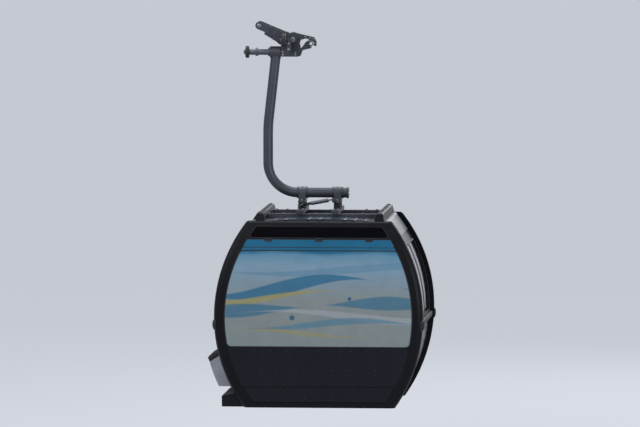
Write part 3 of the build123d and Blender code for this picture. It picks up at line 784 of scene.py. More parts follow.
@dataclass(frozen=True)
class PrintedFilm(Finish):
    """The end windows' printed film: a pale field, teal at the top, with plain ribbons and spots."""

    low: float = 0.713
    high: float = 1.945
    hole_pitch: float = 0.004
    hole_strength: float = 0.10
    disc_strength: float = 0.85
    hole_colour: Colour = rgb(30, 34, 40)
    ribbons: tuple[Ribbon, ...] = ()
    discs: tuple[Disc, ...] = ()
    stops: tuple[tuple[float, Colour], ...] = ()

    def tint(self, graph: Graph) -> Output:
        """The print's colour, from the height and the place across, with the film's fine holes on it."""
        place = graph.node("SeparateXYZ", {0: graph.place()}).outputs
        across = graph.math("SUBTRACT", place["X"], CABIN.middle)
        height = graph.math("SUBTRACT", place["Z"], CABIN.base)
        cloud = graph.math("SUBTRACT", graph.noise(2.4, 4.0, (0.6, 1, 1.3)), 0.5)
        cloudy = graph.math("ADD", height, graph.math("MULTIPLY", cloud, 0.16))
        colour = self.field(graph, graph.ranged(cloudy, self.low, self.high))
        for ribbon in self.ribbons:
            colour = graph.mix(self.stroke(graph, ribbon, across, height), colour, ribbon.colour)
        for disc in self.discs:
            centred = graph.value("CombineXYZ", 0, {0: graph.math("SUBTRACT", across, disc.across),
                                                    2: graph.math("SUBTRACT", height, disc.height)})
            far = graph.value("VectorMath", "Value", {0: centred}, operation="LENGTH")
            share = graph.smooth(far, disc.radius * 1.1, disc.radius * 0.9, self.disc_strength)
            colour = graph.mix(share, colour, disc.colour)
        holes = graph.dots(place["X"], place["Z"], self.hole_pitch)
        return graph.mix(graph.math("MULTIPLY", holes, self.hole_strength), colour, self.hole_colour)

    def field(self, graph: Graph, share: Output) -> Output:
        """The colour that runs through the stops; the first two are the ramp's own ends."""
        ramp = graph.node("ValToRGB", {"Fac": share})
        elements = ramp.color_ramp.elements
        for number, (place, colour) in enumerate(self.stops):
            element = elements[number] if number < 2 else elements.new(place)
            element.position, element.color = place, (*colour, 1)
        return ramp.outputs["Color"]

    def stroke(self, graph: Graph, ribbon: Ribbon, across: Output, height: Output) -> Output:
        """How far a ribbon covers the field: its swelling half width less the way from its wavy middle."""
        wave = graph.sine(across, ribbon.rate, ribbon.phase)
        centre = graph.math("MULTIPLY_ADD", wave, ribbon.swing, ribbon.height)
        away = graph.math("ABSOLUTE", graph.math("SUBTRACT", height, centre))
        half, swell = ribbon.half_width / 2, graph.sine(across, ribbon.swell_rate, ribbon.swell_phase)
        covered = graph.math("SUBTRACT", graph.math("MULTIPLY_ADD", swell, half, half), away)
        return graph.smooth(covered, -0.004, 0.016, ribbon.strength)


TEAL = rgb(30, 96, 128)
DEEP_TEAL = rgb(24, 78, 108)
OCHRE = rgb(142, 136, 86)

HOOP = Finish("satin_black_edge_moulding", "hoop_black", rgb(6, 8, 14), 0.42, grain_height=0.0003,
              mottling=0.12, dust=0.01, specular=0.13)
SHELL = Finish("black_lacquered_panel", "shell_black", rgb(12, 15, 25), 0.2, coat=0.05, mottling=0.06,
               dust=0.015, waviness=0.3, grain_height=0.0001, specular=0.14)
HEADER = Finish("black_header_panel", "shell_black", rgb(2, 2, 7), 0.25, mottling=0.05, dust=0.0,
                grain_height=0.0001, specular=0.05)
ROOF = Finish("blue_grey_roof_lacquer", "roof_blue", rgb(30, 42, 55), 0.3, coat=0.3, mottling=0.1, dust=0.08,
              waviness=0.5, grain_height=0.0001, specular=0.35)
GRIP_PAINT = Finish("zinc_grey_cast_steel", "grip_paint", rgb(46, 49, 59), 0.5, metallic=0.35, mottling=0.22,
                    mottle_scale=14.0, grain_scale=260.0, grain_height=0.0006, dust=0.05, wear=0.5)
SPRING_PAINT = Finish("dark_spring_tube_paint", "spring_paint", rgb(52, 55, 67), 0.42, metallic=0.2,
                      mottling=0.12, grain_scale=420.0, grain_height=0.0003, dust=0.05, wear=0.3)
ARM_PAINT = Finish("dark_arm_paint", "arm_paint", rgb(50, 53, 63), 0.42, metallic=0.25, mottling=0.14,
                   mottle_scale=5.0, grain_scale=420.0, grain_height=0.0003, dust=0.04, wear=0.25)
WELD = Finish("painted_weld_bead", "arm_paint", rgb(50, 54, 65), 0.45, metallic=0.25, mottling=0.2,
              mottle_scale=40.0, grain_scale=120.0, grain_height=0.002, dust=0.04)
STEEL = Finish("greased_turned_steel", "bare_steel", rgb(86, 88, 95), 0.36, metallic=0.9, mottling=0.2,
               mottle_scale=20.0, grain_scale=700.0, dust=0.02)
BOLT = Finish("zinc_plated_fasteners", "bare_steel", rgb(118, 120, 124), 0.38, metallic=0.85, mottling=0.2,
              mottle_scale=30.0, dust=0.05, wear=0.2, wear_colour=rgb(70, 62, 56))
SCREW = Finish("black_screw_heads", "hoop_black", rgb(30, 32, 38), 0.35, metallic=0.5, mottling=0.15,
               mottle_scale=30.0, dust=0.05)
ROLLER = Finish("worn_roller_rubber", "roller_rubber", rgb(24, 25, 30), 0.62, mottling=0.25,
                mottle_scale=24.0, grain_scale=300.0, grain_height=0.0006, dust=0.05)
RUBBER = Finish("black_bumper_rubber", "buffer_rubber", rgb(13, 14, 18), 0.6, mottling=0.2, mottle_scale=16.0,
                grain_scale=350.0, grain_height=0.0005, dust=0.06, specular=0.35)
ALUMINIUM = Finish("anodised_profile", "frame_aluminium", rgb(112, 115, 120), 0.4, metallic=0.85,
                   mottling=0.1, grain_scale=600.0, stretch=(1, 0.04, 1), dust=0.14)
STEP = Finish("dark_step_profile", "frame_aluminium", rgb(13, 15, 20), 0.5, metallic=0.2, mottling=0.15,
              grain_scale=400.0, grain_height=0.0003, stretch=(1, 0.04, 1), dust=0.02, wear=0.3,
              specular=0.15)
MAT = StuddedRubber("studded_floor_rubber", "floor_rubber", rgb(72, 74, 79), 0.7, mottling=0.25,
                    mottle_scale=10.0, grain_scale=200.0, grain_height=0.002, dust=0.2)
SEAT = Finish("dark_seat_moulding", "seat_shell", rgb(78, 83, 95), 0.55, mottling=0.12, grain_scale=240.0,
              grain_height=0.0006, dust=0.05)
SEAT_PAD = Finish("woven_seat_pad", "seat_shell", rgb(52, 74, 98), 0.85, mottling=0.2, mottle_scale=30.0,
                  grain_scale=900.0, grain_height=0.0008, dust=0.05)
RACK = Finish("pale_rack_plastic", "rack_plastic", rgb(150, 154, 164), 0.45, mottling=0.12, grain_scale=300.0,
              grain_height=0.0004, dust=0.2, dust_colour=rgb(96, 100, 108), wear=0.3)
TINT = Finish("grey_tinted_pane", "tinted_glass", rgb(112, 120, 128), 0.03, mottling=0.02, dust=0.01,
              transmission=0.96, grain_height=0.00003, waviness=1.0)
FILM = PrintedFilm(
    "printed_window_film", "film_glass", rgb(122, 131, 133), 0.2, coat=0.12, mottling=0.05, dust=0.03,
    grain_height=0.00005, waviness=0.6, specular=0.2,
    stops=((0.0, rgb(120, 131, 132)), (1.0, rgb(18, 90, 122)), (0.42, rgb(122, 131, 131)),
           (0.74, rgb(113, 141, 161)), (0.84, rgb(88, 130, 154)), (0.885, rgb(20, 92, 124))),
    ribbons=(Ribbon(1.60, 0.05, 1.9, -0.6, 0.05, 1.5, 0.9, rgb(88, 126, 150), 0.7),
             Ribbon(1.40, 0.11, 2.3, 0.9, 0.085, 2.7, 2.6, TEAL, 0.85),
             Ribbon(1.28, 0.08, 2.3, 1.3, 0.04, 2.2, 3.4, OCHRE, 0.8),
             Ribbon(1.17, 0.05, 1.5, 0.4, 0.085, 3.6, -1.35, rgb(40, 100, 128), 0.75),
             Ribbon(1.07, 0.06, 2.0, 2.4, 0.05, 1.7, 0.4, rgb(146, 152, 158), 0.7),
             Ribbon(0.97, 0.05, 2.6, 0.2, 0.045, 2.4, 1.2, rgb(70, 116, 138), 0.7),
             Ribbon(0.87, 0.04, 2.8, 3.6, 0.03, 2.9, 2.2, OCHRE, 0.6)),
    discs=(Disc(-0.30, 1.05, 0.030, DEEP_TEAL), Disc(-0.39, 1.01, 0.016, OCHRE),
           Disc(0.36, 1.27, 0.022, DEEP_TEAL), Disc(0.44, 1.30, 0.013, OCHRE)))

NODE_FINISHES = (HOOP, SHELL, ROOF, GRIP_PAINT, SPRING_PAINT, ARM_PAINT, STEEL, ROLLER, RUBBER, ALUMINIUM,
                 MAT, SEAT, RACK, TINT, FILM)
OWN_FINISHES = {"end_header_rear": HEADER, "end_header_front": HEADER, "sill_step": STEP}


def dress_nodes() -> None:
    """Gives every CAD node the finish of its slot, or its own."""
    by_slot = {finish.slot: finish for finish in NODE_FINISHES}
    for name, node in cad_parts.items():
        for holder in node.material_slots:
            finish = OWN_FINISHES.get(name) or by_slot[holder.material.name]
            holder.material = finish.material()
            LOG.info("finish %s on %s", finish.name, name)


@dataclass(frozen=True)
class Piece:
    """A new piece: its name, finish and shells, the body it rides on, and the nodes it stands for."""

    name: str
    finish: Finish
    shells: Sequence[Shell]
    body: Body = Body.CARRIER
    stands_for: tuple[str, ...] = ()
    sharp: float = 38.0

    def build(self) -> None:
        """Makes the mesh, closes its seams and poles, turns its faces outwards, and says what it rides on."""
        shell, mesh = Shell.join(*self.shells), bpy.data.meshes.new(self.name)
        faces = [face for group in shell.faces for face in group.tolist()]
        mesh.from_pydata(shell.corners.tolist(), [], faces)
        work = bmesh.new()
        work.from_mesh(mesh)
        bmesh.ops.remove_doubles(work, verts=work.verts, dist=1e-5)
        bmesh.ops.recalc_face_normals(work, faces=work.faces)
        work.to_mesh(mesh)
        work.free()
        mesh.polygons.foreach_set("use_smooth", np.ones(len(mesh.polygons), bool))
        mesh.set_sharp_from_angle(angle=math.radians(self.sharp))
        mesh.materials.append(self.finish.material())
        made = linked(self.name, mesh)
        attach(made, self.body.value)
        if self.stands_for:
            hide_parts(*self.stands_for)
        LOG.info("piece %s on %s, %d faces", self.name, self.body.value, len(mesh.polygons))


def linked(name: str, data: bpy.types.ID) -> bpy.types.Object:
    """A new object in the scene."""
    made = bpy.data.objects.new(name, data)
    bpy.context.scene.collection.objects.link(made)
    return made


class Assembly:
    """A group of pieces that are built together."""

    def pieces(self) -> list[Piece]:
        """The group's pieces."""
        raise NotImplementedError

    def build(self) -> None:
        """Makes every piece."""
        for piece in self.pieces():
            piece.build()


# Sub-assemblies


@dataclass(frozen=True)
class EndWall(Assembly):
    """Seals, trims, screws, hinges and corner pads of one end wall."""

    end: End
    pane_inset: float = 0.1243
    window: Vector3 = (0.713, 1.820, 0.055)
    vent: Vector3 = (1.855, 1.945, 0.012)
    header: Vector3 = (1.962, 2.090, 0.030)
    seal: Pair = (0.013, 0.003)
    thin_seal: Pair = (0.007, 0.0018)
    gap: float = 0.004
    bar_face: float = 0.001
    crease: float = 0.252
    crease_trim: Pair = (0.012, 0.004)
    brow: Pair = (0.82, 2.099)
    brow_trim: Pair = (0.009, 0.005)
    screws: tuple[ScrewRow, ...] = ((0.009, 0.74, 9, 0.665, 0.0), (0.009, 0.66, 9, 0.440, 0.0),
                                    (0.009, 0.60, 7, 0.268, 0.0), (0.009, 0.50, 7, 0.105, 0.012))
    hinge_places: Vector3 = (-0.58, 0.0, 0.58)
    hinge_rise: float = 0.003
    knuckle: Pair = (0.0065, 0.030)
    leaf: Vector3 = (0.084, 0.026, 0.004)
    leaf_plate: Pair = (0.0028, 0.001)
    leaf_drop: float = 0.022
    pad_height: float = 0.960
    pad: Pair = (0.120, 0.022)
    corner_radius: float = 0.070

    def rim(self, band: Vector3, seal: Pair) -> Shell:
        """A bead round one of the end's panes."""
        low, high, radius = band
        sides = [curved(CABIN.across, self.pane_inset, sign) for sign in SIDES]
        return Opening(self.end.wall, *sides, low, high, radius).bead(half_round(*seal))

    def film_bar(self) -> Shell:
        """The film's strip over the bar between window and vent: an oblong section carried up the wall."""
        heights = column(np.linspace(self.window[1] + self.gap, self.vent[0] - self.gap, 4))
        edge = CABIN.across.at(heights, self.pane_inset + self.gap)
        insets = self.bar_face * np.array((1, -1, -1, 1))
        return Shell.grid(CABIN.on(self.end.wall, edge * (-1, -1, 1, 1), heights, insets), caps=True)

    def hinges(self) -> list[Shell]:
        """Hinges over the vent: pins of three stepped knuckles, and a leaf below each."""
        wall, places, height = self.end.wall, self.hinge_places, (self.vent[1] + self.header[0]) / 2
        (radius, length), step = self.knuckle, 0.001
        starts = length * np.array((-1.5, -0.5, 0.5))
        knuckles = [(r, start + h) for start in starts
                    for r, h in ((radius, step), (radius, length - step), (radius - step, length))]
        pin = lathe([(0, starts[0]), *knuckles, (0, -starts[0])], 12)
        leaf = plate(rounded_oblong(*self.leaf), *self.leaf_plate)
        return [pin.spread(CABIN.on(wall, places, height, -self.hinge_rise), facing((1, 0, 0))),
                leaf.spread(CABIN.on(wall, places, height - self.leaf_drop, 0.0),
                            facing(CABIN.outward(wall, height)))]

    def corner_pads(self) -> list[Shell]:
        """Rubber pads round the ring's corners at the waist.

        The path runs along the side, then round the corner: its centre plus the corner's radius and the pad's
        rise, times cosine and sine.
        """
        turn = column(np.radians((0, 0, 0, 12, 24, 36, 48, 56)))
        lead = column((0.022, 0.018, 0, 0, 0, 0, 0, 0))
        scale = column((0.8, 1, 1, 1, 1, 1, 1, 0.75))
        profile = half_round(*self.pad, foot=0.004, steps=9)
        height = self.pad_height + profile[:, 0] * scale
        far = self.corner_radius + profile[:, 1] * scale
        across = CABIN.across.at(height) - self.corner_radius + far * np.cos(turn)
        along = CABIN.along.at(height) - self.corner_radius + far * np.sin(turn) - lead
        return [Shell.grid(CABIN.spot(sign * across, self.end.wall.sign * along, height), caps=True)
                for sign in SIDES]

    def pieces(self) -> list[Piece]:
        """The end's pieces."""
        label, wall = self.end.label, self.end.wall
        half, height = self.brow
        edge = float(CABIN.across.at(self.crease, self.pane_inset)) - self.gap
        crease = rail(wall, -edge, edge, self.crease, 0.0, half_round(*self.crease_trim))
        brow = rail(wall, -half, half, height, 0.0, half_round(*self.brow_trim))
        bands = ((self.window, self.seal), (self.vent, self.thin_seal), (self.header, self.thin_seal))
        return [
            Piece(f"window_seals_{label}", RUBBER, [self.rim(band, seal) for band, seal in bands]),
            Piece(f"film_bar_{label}", FILM, [self.film_bar()]),
            Piece(f"panel_trim_{label}", HOOP, [crease, brow]),
            Piece(f"panel_screws_{label}", SCREW, screw_rows(wall, self.screws)),
            Piece(f"vent_hinges_{label}", SCREW, self.hinges()),
            Piece(f"corner_pads_{label}", RUBBER, self.corner_pads()),
        ]


@dataclass(frozen=True)
class SideWalls(Assembly):
    """Seals, ribs and screws of the fixed side walls."""

    skin: float = 0.050
    low: float = 1.010
    high: float = 1.840
    radius: float = 0.055
    end_inset: float = 0.155
    pillar: float = 0.045
    door_edge: float = 0.455
    seal: Pair = (0.018, 0.0022)
    bumper: float = 0.960
    bumper_face: float = 0.016
    bumper_reach: float = 0.905
    joint: Pair = (0.86, 0.700)
    joint_trim: Pair = (0.012, 0.002)
    screws: tuple[ScrewRow, ...] = ((0.008, 0.84, 8, bumper, bumper_face), (0.006, 0.80, 9, 0.66, skin))
    post_screw: float = 0.006
    post_screws: tuple[float, float, int] = (1.06, 1.79, 6)

    def seals(self, wall: Wall, inner: float) -> list[Shell]:
        """Seals round the pair of panes in one wall, whose inner edges lie that far from the middle."""
        shells = []
        for sign in SIDES:
            edges = [curved(CABIN.along, self.end_inset, sign), straight(sign * inner)][::-sign]
            window = Opening(wall, *edges, self.low, self.high, self.radius, self.skin)
            shells.append(window.bead(half_round(*self.seal)))
        return shells

    def pieces(self) -> list[Piece]:
        """The side walls' pieces."""
        wall, face, reach, (half, height) = Wall.BLIND, self.bumper_face, self.bumper_reach, self.joint
        joint = rail(wall, -half, half, height, self.skin, half_round(*self.joint_trim))
        post = screws(wall, self.post_screw, 0.0, np.linspace(*self.post_screws), self.skin)
        return [
            Piece("blind_window_seals", RUBBER, self.seals(wall, self.pillar)),
            Piece("quarter_window_seals", RUBBER, self.seals(Wall.DOORS, self.door_edge)),
            Piece("blind_bumper_ribs", RUBBER, bumper_ribs(wall, -reach, reach, self.bumper, face)),
            Piece("blind_wall_joint", HOOP, [joint]),
            Piece("blind_wall_screws", SCREW, [*screw_rows(wall, self.screws), post]),
        ]


@dataclass(frozen=True)
class DoorLeaf(Assembly):
    """Seals and bumper ribs of one door leaf, and the ribs and rim of its ski rack."""

    end: End
    skin: float = 0.008
    far: float = 0.420
    near: float = 0.004
    low: float = 1.010
    high: float = 1.792
    border: float = 0.048
    radius: float = 0.055
    seal: Pair = (0.018, 0.0022)
    leaf_band: Pair = (0.176, 1.921)
    bumper: float = 0.960
    bumper_face: float = -0.026
    bumper_border: float = 0.010
    screws: tuple[ScrewRow, ...] = ((0.008, 0.148, 3, bumper, bumper_face), (0.007, 0.158, 4, 0.690, skin))
    rack_half: float = 0.176
    rack_outer: float = -0.182
    rack_low: float = 0.200
    rack_front_high: float = 0.540
    rack_back_high: float = 0.640
    rack_wall: float = 0.008
    pockets: int = 4
    rim: Pair = (0.0065, 0.00585)
    rim_bend: float = 0.018
    lip: Pair = (0.052, 0.004)
    lip_drop: float = 0.032
    ribs: tuple[float, float, int] = (-0.148, 0.148, 9)
    rib: Pair = (0.009, 0.006)
    rib_ends: Pair = (0.025, 0.064)
    foot: Vector3 = (0.170, 0.020, 0.004)
    foot_rise: float = 0.016

    @property
    def middle(self) -> float:
        """The place of the leaf's middle along the wall."""
        return self.end.wall.sign * (self.far + self.near) / 2

    def span(self, border: float) -> list[float]:
        """The places of the leaf's two sides less a border, in rising order."""
        return sorted(self.end.wall.sign * place for place in (self.far - border, self.near + border))

    def meeting_seal(self) -> Shell:
        """A rubber nose on the leaf's free edge: a half ellipse across the leaf, carried up its curve."""
        heights = column(np.linspace(*self.leaf_band, 17))
        middle, half, reach, foot = 0.0175, 0.013, 0.0042, 0.007
        angle = np.linspace(-np.pi / 2, np.pi / 2, 9)
        inset = self.skin + middle + np.append(half * np.sin(angle), (half, -half))
        nose = np.append(self.near + 0.001 - reach * np.cos(angle), (foot, foot))
        return Shell.grid(CABIN.on(Wall.DOORS, self.end.wall.sign * nose, heights, inset), caps=True)

    def rack_edge(self, place: float, drop: float = 0.0, reach: float = 0.0) -> Array:
        """Three points along a rack wall's upper edge, from the leaf to the front.

        Args:
            place: where the wall stands along the cabin.
            drop: how far below the edge.
            reach: how far the last point stops short of the middle of the front wall.

        Returns:
            The points.
        """
        overlap, below = 0.010, 0.004
        back = -CABIN.across.at(self.rack_back_high, self.skin - overlap)
        front = reach - CABIN.across.at(self.rack_front_high, self.rack_outer + self.rack_wall / 2)
        return np.linspace(CABIN.spot(back, place, self.rack_back_high - below - drop),
                           CABIN.spot(front, place, self.rack_front_high - drop), 3)

    def rack_rim(self) -> list[Shell]:
        """A rubber edging: a tube round the rack's mouth, and one on each wall between its pockets."""
        side, (mouth, wall), lean = self.rack_half - self.rack_wall / 2, map(circle, self.rim), 0.35
        first, *walls, last = np.linspace(self.middle - side, self.middle + side, self.pockets + 1)
        loop = np.concatenate((self.rack_edge(first)[::2], self.rack_edge(last)[::-2]))
        return [sweep(bent_path(loop, self.rim_bend), mouth, (lean, 0, 1)),
                *(sweep(self.rack_edge(place, reach=self.rack_wall / 2), wall, (0, 0, 1)) for place in walls)]

    def rack_lip(self) -> list[Shell]:
        """A rubber band under the rack's mouth, along its front and both sides."""
        middle, band, drop, overlap = self.middle, half_round(*self.lip), self.lip_drop, 0.003
        height, reach = self.rack_front_high - drop, self.rack_half + overlap
        return [rail(Wall.DOORS, middle - reach, middle + reach, height, self.rack_outer, band),
                *(sweep(self.rack_edge(middle + way * self.rack_half, drop), band, (0, way, 0))
                  for way in SIDES)]

    def rack_ribs(self) -> list[Shell]:
        """Upright ribs and a cross band on the rack's front."""
        (below, above), (half, *band) = self.rib_ends, self.foot
        low, high, middle, face = self.rack_low, self.rack_front_high, self.middle, self.rack_outer
        foot = rail(Wall.DOORS, middle - half, middle + half, low + self.foot_rise, face, half_round(*band))
        return [*(stave(Wall.DOORS, place, low + below, high - above, face, half_round(*self.rib))
                  for place in middle + np.linspace(*self.ribs)), foot]

    def pieces(self) -> list[Piece]:
        """The leaf's pieces."""
        label, body, wall, face = self.end.label, self.end.door, Wall.DOORS, self.bumper_face
        sides = map(straight, self.span(self.border))
        window = Opening(wall, *sides, self.low, self.high, self.radius, self.skin)
        ribs = bumper_ribs(wall, *self.span(self.bumper_border), self.bumper, face)
        return [
            Piece(f"door_window_seal_{label}", RUBBER, [window.bead(half_round(*self.seal))], body),
            Piece(f"door_meeting_seal_{label}", RUBBER, [self.meeting_seal()], body),
            Piece(f"door_bumper_ribs_{label}", RUBBER, ribs, body),
            Piece(f"door_screws_{label}", SCREW, screw_rows(wall, self.screws, self.middle), body),
            Piece(f"rack_ribs_{label}", RACK, self.rack_ribs(), body),
            Piece(f"rack_rim_{label}", RUBBER, self.rack_rim() + self.rack_lip(), body),
        ]


@dataclass(frozen=True)
class Sill(Assembly):
    """Treads, nosing and the door roller along the step."""

    lip: Pair = (1.130, 0.125)
    root: Pair = (0.976, 0.159)
    tread: Pair = (0.009, 0.0035)
    treads: tuple[float, float, int] = (0.06, 0.88, 7)
    nosing: Pair = (0.014, 0.004)
    nosing_heights: Vector3 = (0.030, 0.062, 0.094)
    bolt: Pair = (0.010, 0.046)
    bolts: tuple[float, float, int] = (-0.7, 0.7, 6)
    reach: float = 0.765
    drive_across: float = -1.080
    drive: Pair = (0.036, 0.012)
    drive_band: Pair = (-0.038, -0.014)

    def rib(self, across: float, height: float, profile: Array, out: Vector3) -> Shell:
        """A rib along the step."""
        return sweep(CABIN.spot(-across, (-self.reach, self.reach), height), profile, out)

    def tread_ribs(self) -> list[Shell]:
        """Ribs along the sloping top."""
        lip, root = np.array(self.lip), np.array(self.root)
        run, climb = lip - root
        return [self.rib(*(lip + (root - lip) * share), half_round(*self.tread), (climb, 0.0, run))
                for share in np.linspace(*self.treads)]

    def roller(self) -> list[Shell]:
        """The door roller's tread and its axle."""
        (radius, shaft), (low, high) = self.drive, self.drive_band
        tread = lathe(both_sides(low, high, (shaft, 0), (radius - 0.004, 0), (radius - 0.001, 0.002),
                                 (radius, 0.006)), 40, wrap=True)
        face, fit = low - 0.004, shaft - 0.0005
        axle = lathe(((0, face - 0.002), (0.008, face - 0.002), (0.010, face), (fit, face), (fit, 0.002),
                      (0, 0.002)), 24)
        return [shell.spread(CABIN.spot(self.drive_across, 0.0, 0.0)) for shell in (tread, axle)]

    def pieces(self) -> list[Piece]:
        """The step's pieces."""
        (tread, axle), (size, height) = self.roller(), self.bolt
        bolts = hex_bolt(size).spread(CABIN.spot(-self.lip[0], np.linspace(*self.bolts), height),
                                      facing((-1, 0, 0)))
        ribs = [self.rib(self.lip[0], height, half_round(*self.nosing), (-1, 0, 0))
                for height in self.nosing_heights]
        return [
            Piece("sill_treads", ALUMINIUM, self.tread_ribs()),
            Piece("sill_nosing", RUBBER, ribs),
            Piece("sill_bolts", BOLT, [bolts]),
            Piece("door_roller_tread", ROLLER, [tread], stands_for=("door_drive",)),
            Piece("door_roller_axle", STEEL, [axle]),
        ]


@dataclass(frozen=True)
class Roof(Assembly):
    """Pressed ridges of the roof, and the bolts of its rails."""

    height: float = 2.150
    dome_rise: float = 0.022
    dome_half: float = 0.620
    ridge: Pair = (0.034, 0.005)
    ridge_places: tuple[float, ...] = (-0.52, -0.39, -0.13, 0.0, 0.28, 0.40, 0.52)
    ridge_spans: tuple[Pair, ...] = ((0.62, 0.44), (0.0, 0.50), (-0.62, 0.44))
    rail_across: float = 0.690
    rail_top: float = 2.2393
    bolt: float = 0.013
    bolts: tuple[float, float, int] = (-0.72, 0.72, 6)

    def ridges(self) -> list[Shell]:
        """Ridges on the dome, whose height falls with the square of the distance from the middle."""
        across = np.array(self.ridge_places)
        level = self.height + self.dome_rise * (1 - (across / self.dome_half) ** 2)
        return [swage(length, *self.ridge).spread(CABIN.spot(across, place, level))
                for place, length in self.ridge_spans]

    def pieces(self) -> list[Piece]:
        """The roof's pieces."""
        across, along = self.rail_across * np.array(SIDES), column(np.linspace(*self.bolts))
        spots = CABIN.spot(across, along, self.rail_top)
        return [Piece("roof_ridges", ROOF, self.ridges()),
                Piece("roof_rail_bolts", BOLT, [hex_bolt(self.bolt).spread(spots)])]


@dataclass(frozen=True)
class Suspension(Assembly):
    """Rubber buffers with their plates, the frame's bolts, and the damper's boot and bands."""

    posts: Pair = (-0.260, 0.150)
    beam_low: float = 2.202
    beam_high: float = 2.244
    saddle_low: float = 2.322
    saddle_plate: float = 0.016
    buffer_spread: float = 0.105
    buffer_radius: float = 0.044
    buffer_plate: float = 0.0058
    cross_beam: float = 0.330
    beam_ends: Pair = (0.46, 0.58)
    bolt_half: float = 0.026
    arm_height: float = 2.423
    arm_radius: float = 0.057
    strap: float = 0.012
    strap_lean: float = 40.0
    buffer_bolt: float = 0.017
    beam_bolt: float = 0.012
    strap_bolt: float = 0.010
    damper_foot: Vector3 = (-0.284, -0.190, 2.286)
    damper_top: Vector3 = (0.110, -0.190, 2.358)
    boot_share: Pair = (0.085, 0.345)
    boot_radius: Pair = (0.0165, 0.0035)
    boot_folds: int = 8
    bands: tuple[Pair, ...] = ((0.09, 0.0165), (0.36, 0.0228), (0.60, 0.0228), (0.835, 0.0228))

    @property
    def gap(self) -> float:
        """The height between beam and saddle, which the buffers fill."""
        return self.saddle_low - self.beam_high

    def over_buffers(self, rise: float = 0.0) -> Array:
        """Points over the buffers' feet."""
        return CABIN.spot(self.posts, self.buffer_spread * column(SIDES), self.beam_high + rise)

    def buffer(self) -> Shell:
        """A rubber block with three rounded rings: the radius less a cosine of the height."""
        share, full, foot = np.linspace(0.07, 0.93, 25), self.buffer_radius, 0.06 * self.gap
        inset, swing, rings = 0.004, 0.0035, 3
        radius = full - inset - swing * np.cos(2 * np.pi * rings * share)
        return lathe(both_sides(0, self.gap, (0, foot), (full - 0.010, foot),
                                middle=zip(radius, share * self.gap)), 36)

    def plates(self) -> list[Shell]:
        """A steel disc under and over each buffer."""
        disc = lathe(both_sides(0, self.buffer_plate, (0, 0), (self.buffer_radius - 0.002, 0),
                                (self.buffer_radius, 0.001)), 36)
        return [disc.spread(self.over_buffers(rise)) for rise in (0, self.gap - self.buffer_plate)]

    def bolts(self) -> list[Shell]:
        """Bolts over the buffers, where beams cross, at the cross beams' ends and on the saddles' straps."""
        pair, beam = self.bolt_half * np.array(SIDES), self.cross_beam * np.array(SIDES)
        posts = np.add.outer(self.posts, pair).ravel()
        crossing = CABIN.spot(posts, column(np.add.outer(beam, pair).ravel()), self.beam_high)
        ends = CABIN.spot(np.outer(SIDES, self.beam_ends).ravel(), column(beam), self.beam_low)
        straps = []
        for lean in self.strap_lean * np.radians(SIDES):
            out = np.array((0.0, math.sin(lean), math.cos(lean)))
            rest = CABIN.spot(posts, 0.0, self.arm_height) + out * (self.arm_radius + self.strap)
            straps.append(hex_bolt(self.strap_bolt).spread(rest, facing(out)))
        return [hex_bolt(self.buffer_bolt).spread(self.over_buffers(self.gap + self.saddle_plate)),
                *(hex_bolt(self.beam_bolt).spread(spots) for spots in (crossing, ends)), *straps]

    def on_damper(self, shells: Callable[[float], list[Shell]]) -> list[Shell]:
        """Shells made along +Z for the damper's length, turned and moved onto it."""
        foot, top = CABIN.spot(*self.damper_foot), CABIN.spot(*self.damper_top)
        return [shell.spread(foot, facing(top - foot)) for shell in shells(float(np.linalg.norm(top - foot)))]

    def boot(self, length: float) -> list[Shell]:
        """A folded rubber boot on the damper's rod: the radius swings with the place along it."""
        share, (low, high), (middle, swing) = np.linspace(0, 1, 41), self.boot_share, self.boot_radius
        place = length * (low + (high - low) * share)
        radius = middle + swing * np.cos(2 * np.pi * self.boot_folds * share + np.pi)
        return [lathe([(0, place[0]), *zip(radius, place), (0, place[-1])], 24)]

    def clamps(self, length: float) -> list[Shell]:
        """Steel bands at the ends of the damper's body and boot."""
        return [lathe(both_sides(share * length, share * length + 0.010, (0, 0), (radius + 0.001, 0),
                                 (radius + 0.0015, 0.002)), 28) for share, radius in self.bands]

    def pieces(self) -> list[Piece]:
        """The suspension's pieces."""
        rubbers = self.buffer().spread(self.over_buffers())
        return [
            Piece("buffer_rubbers", RUBBER, [rubbers], stands_for=("buffers",), sharp=60),
            Piece("buffer_plates", BOLT, self.plates()),
            Piece("suspension_bolts", BOLT, self.bolts()),
            Piece("damper_boot", RUBBER, self.on_damper(self.boot), sharp=70),
            Piece("damper_bands", STEEL, self.on_damper(self.clamps)),
        ]


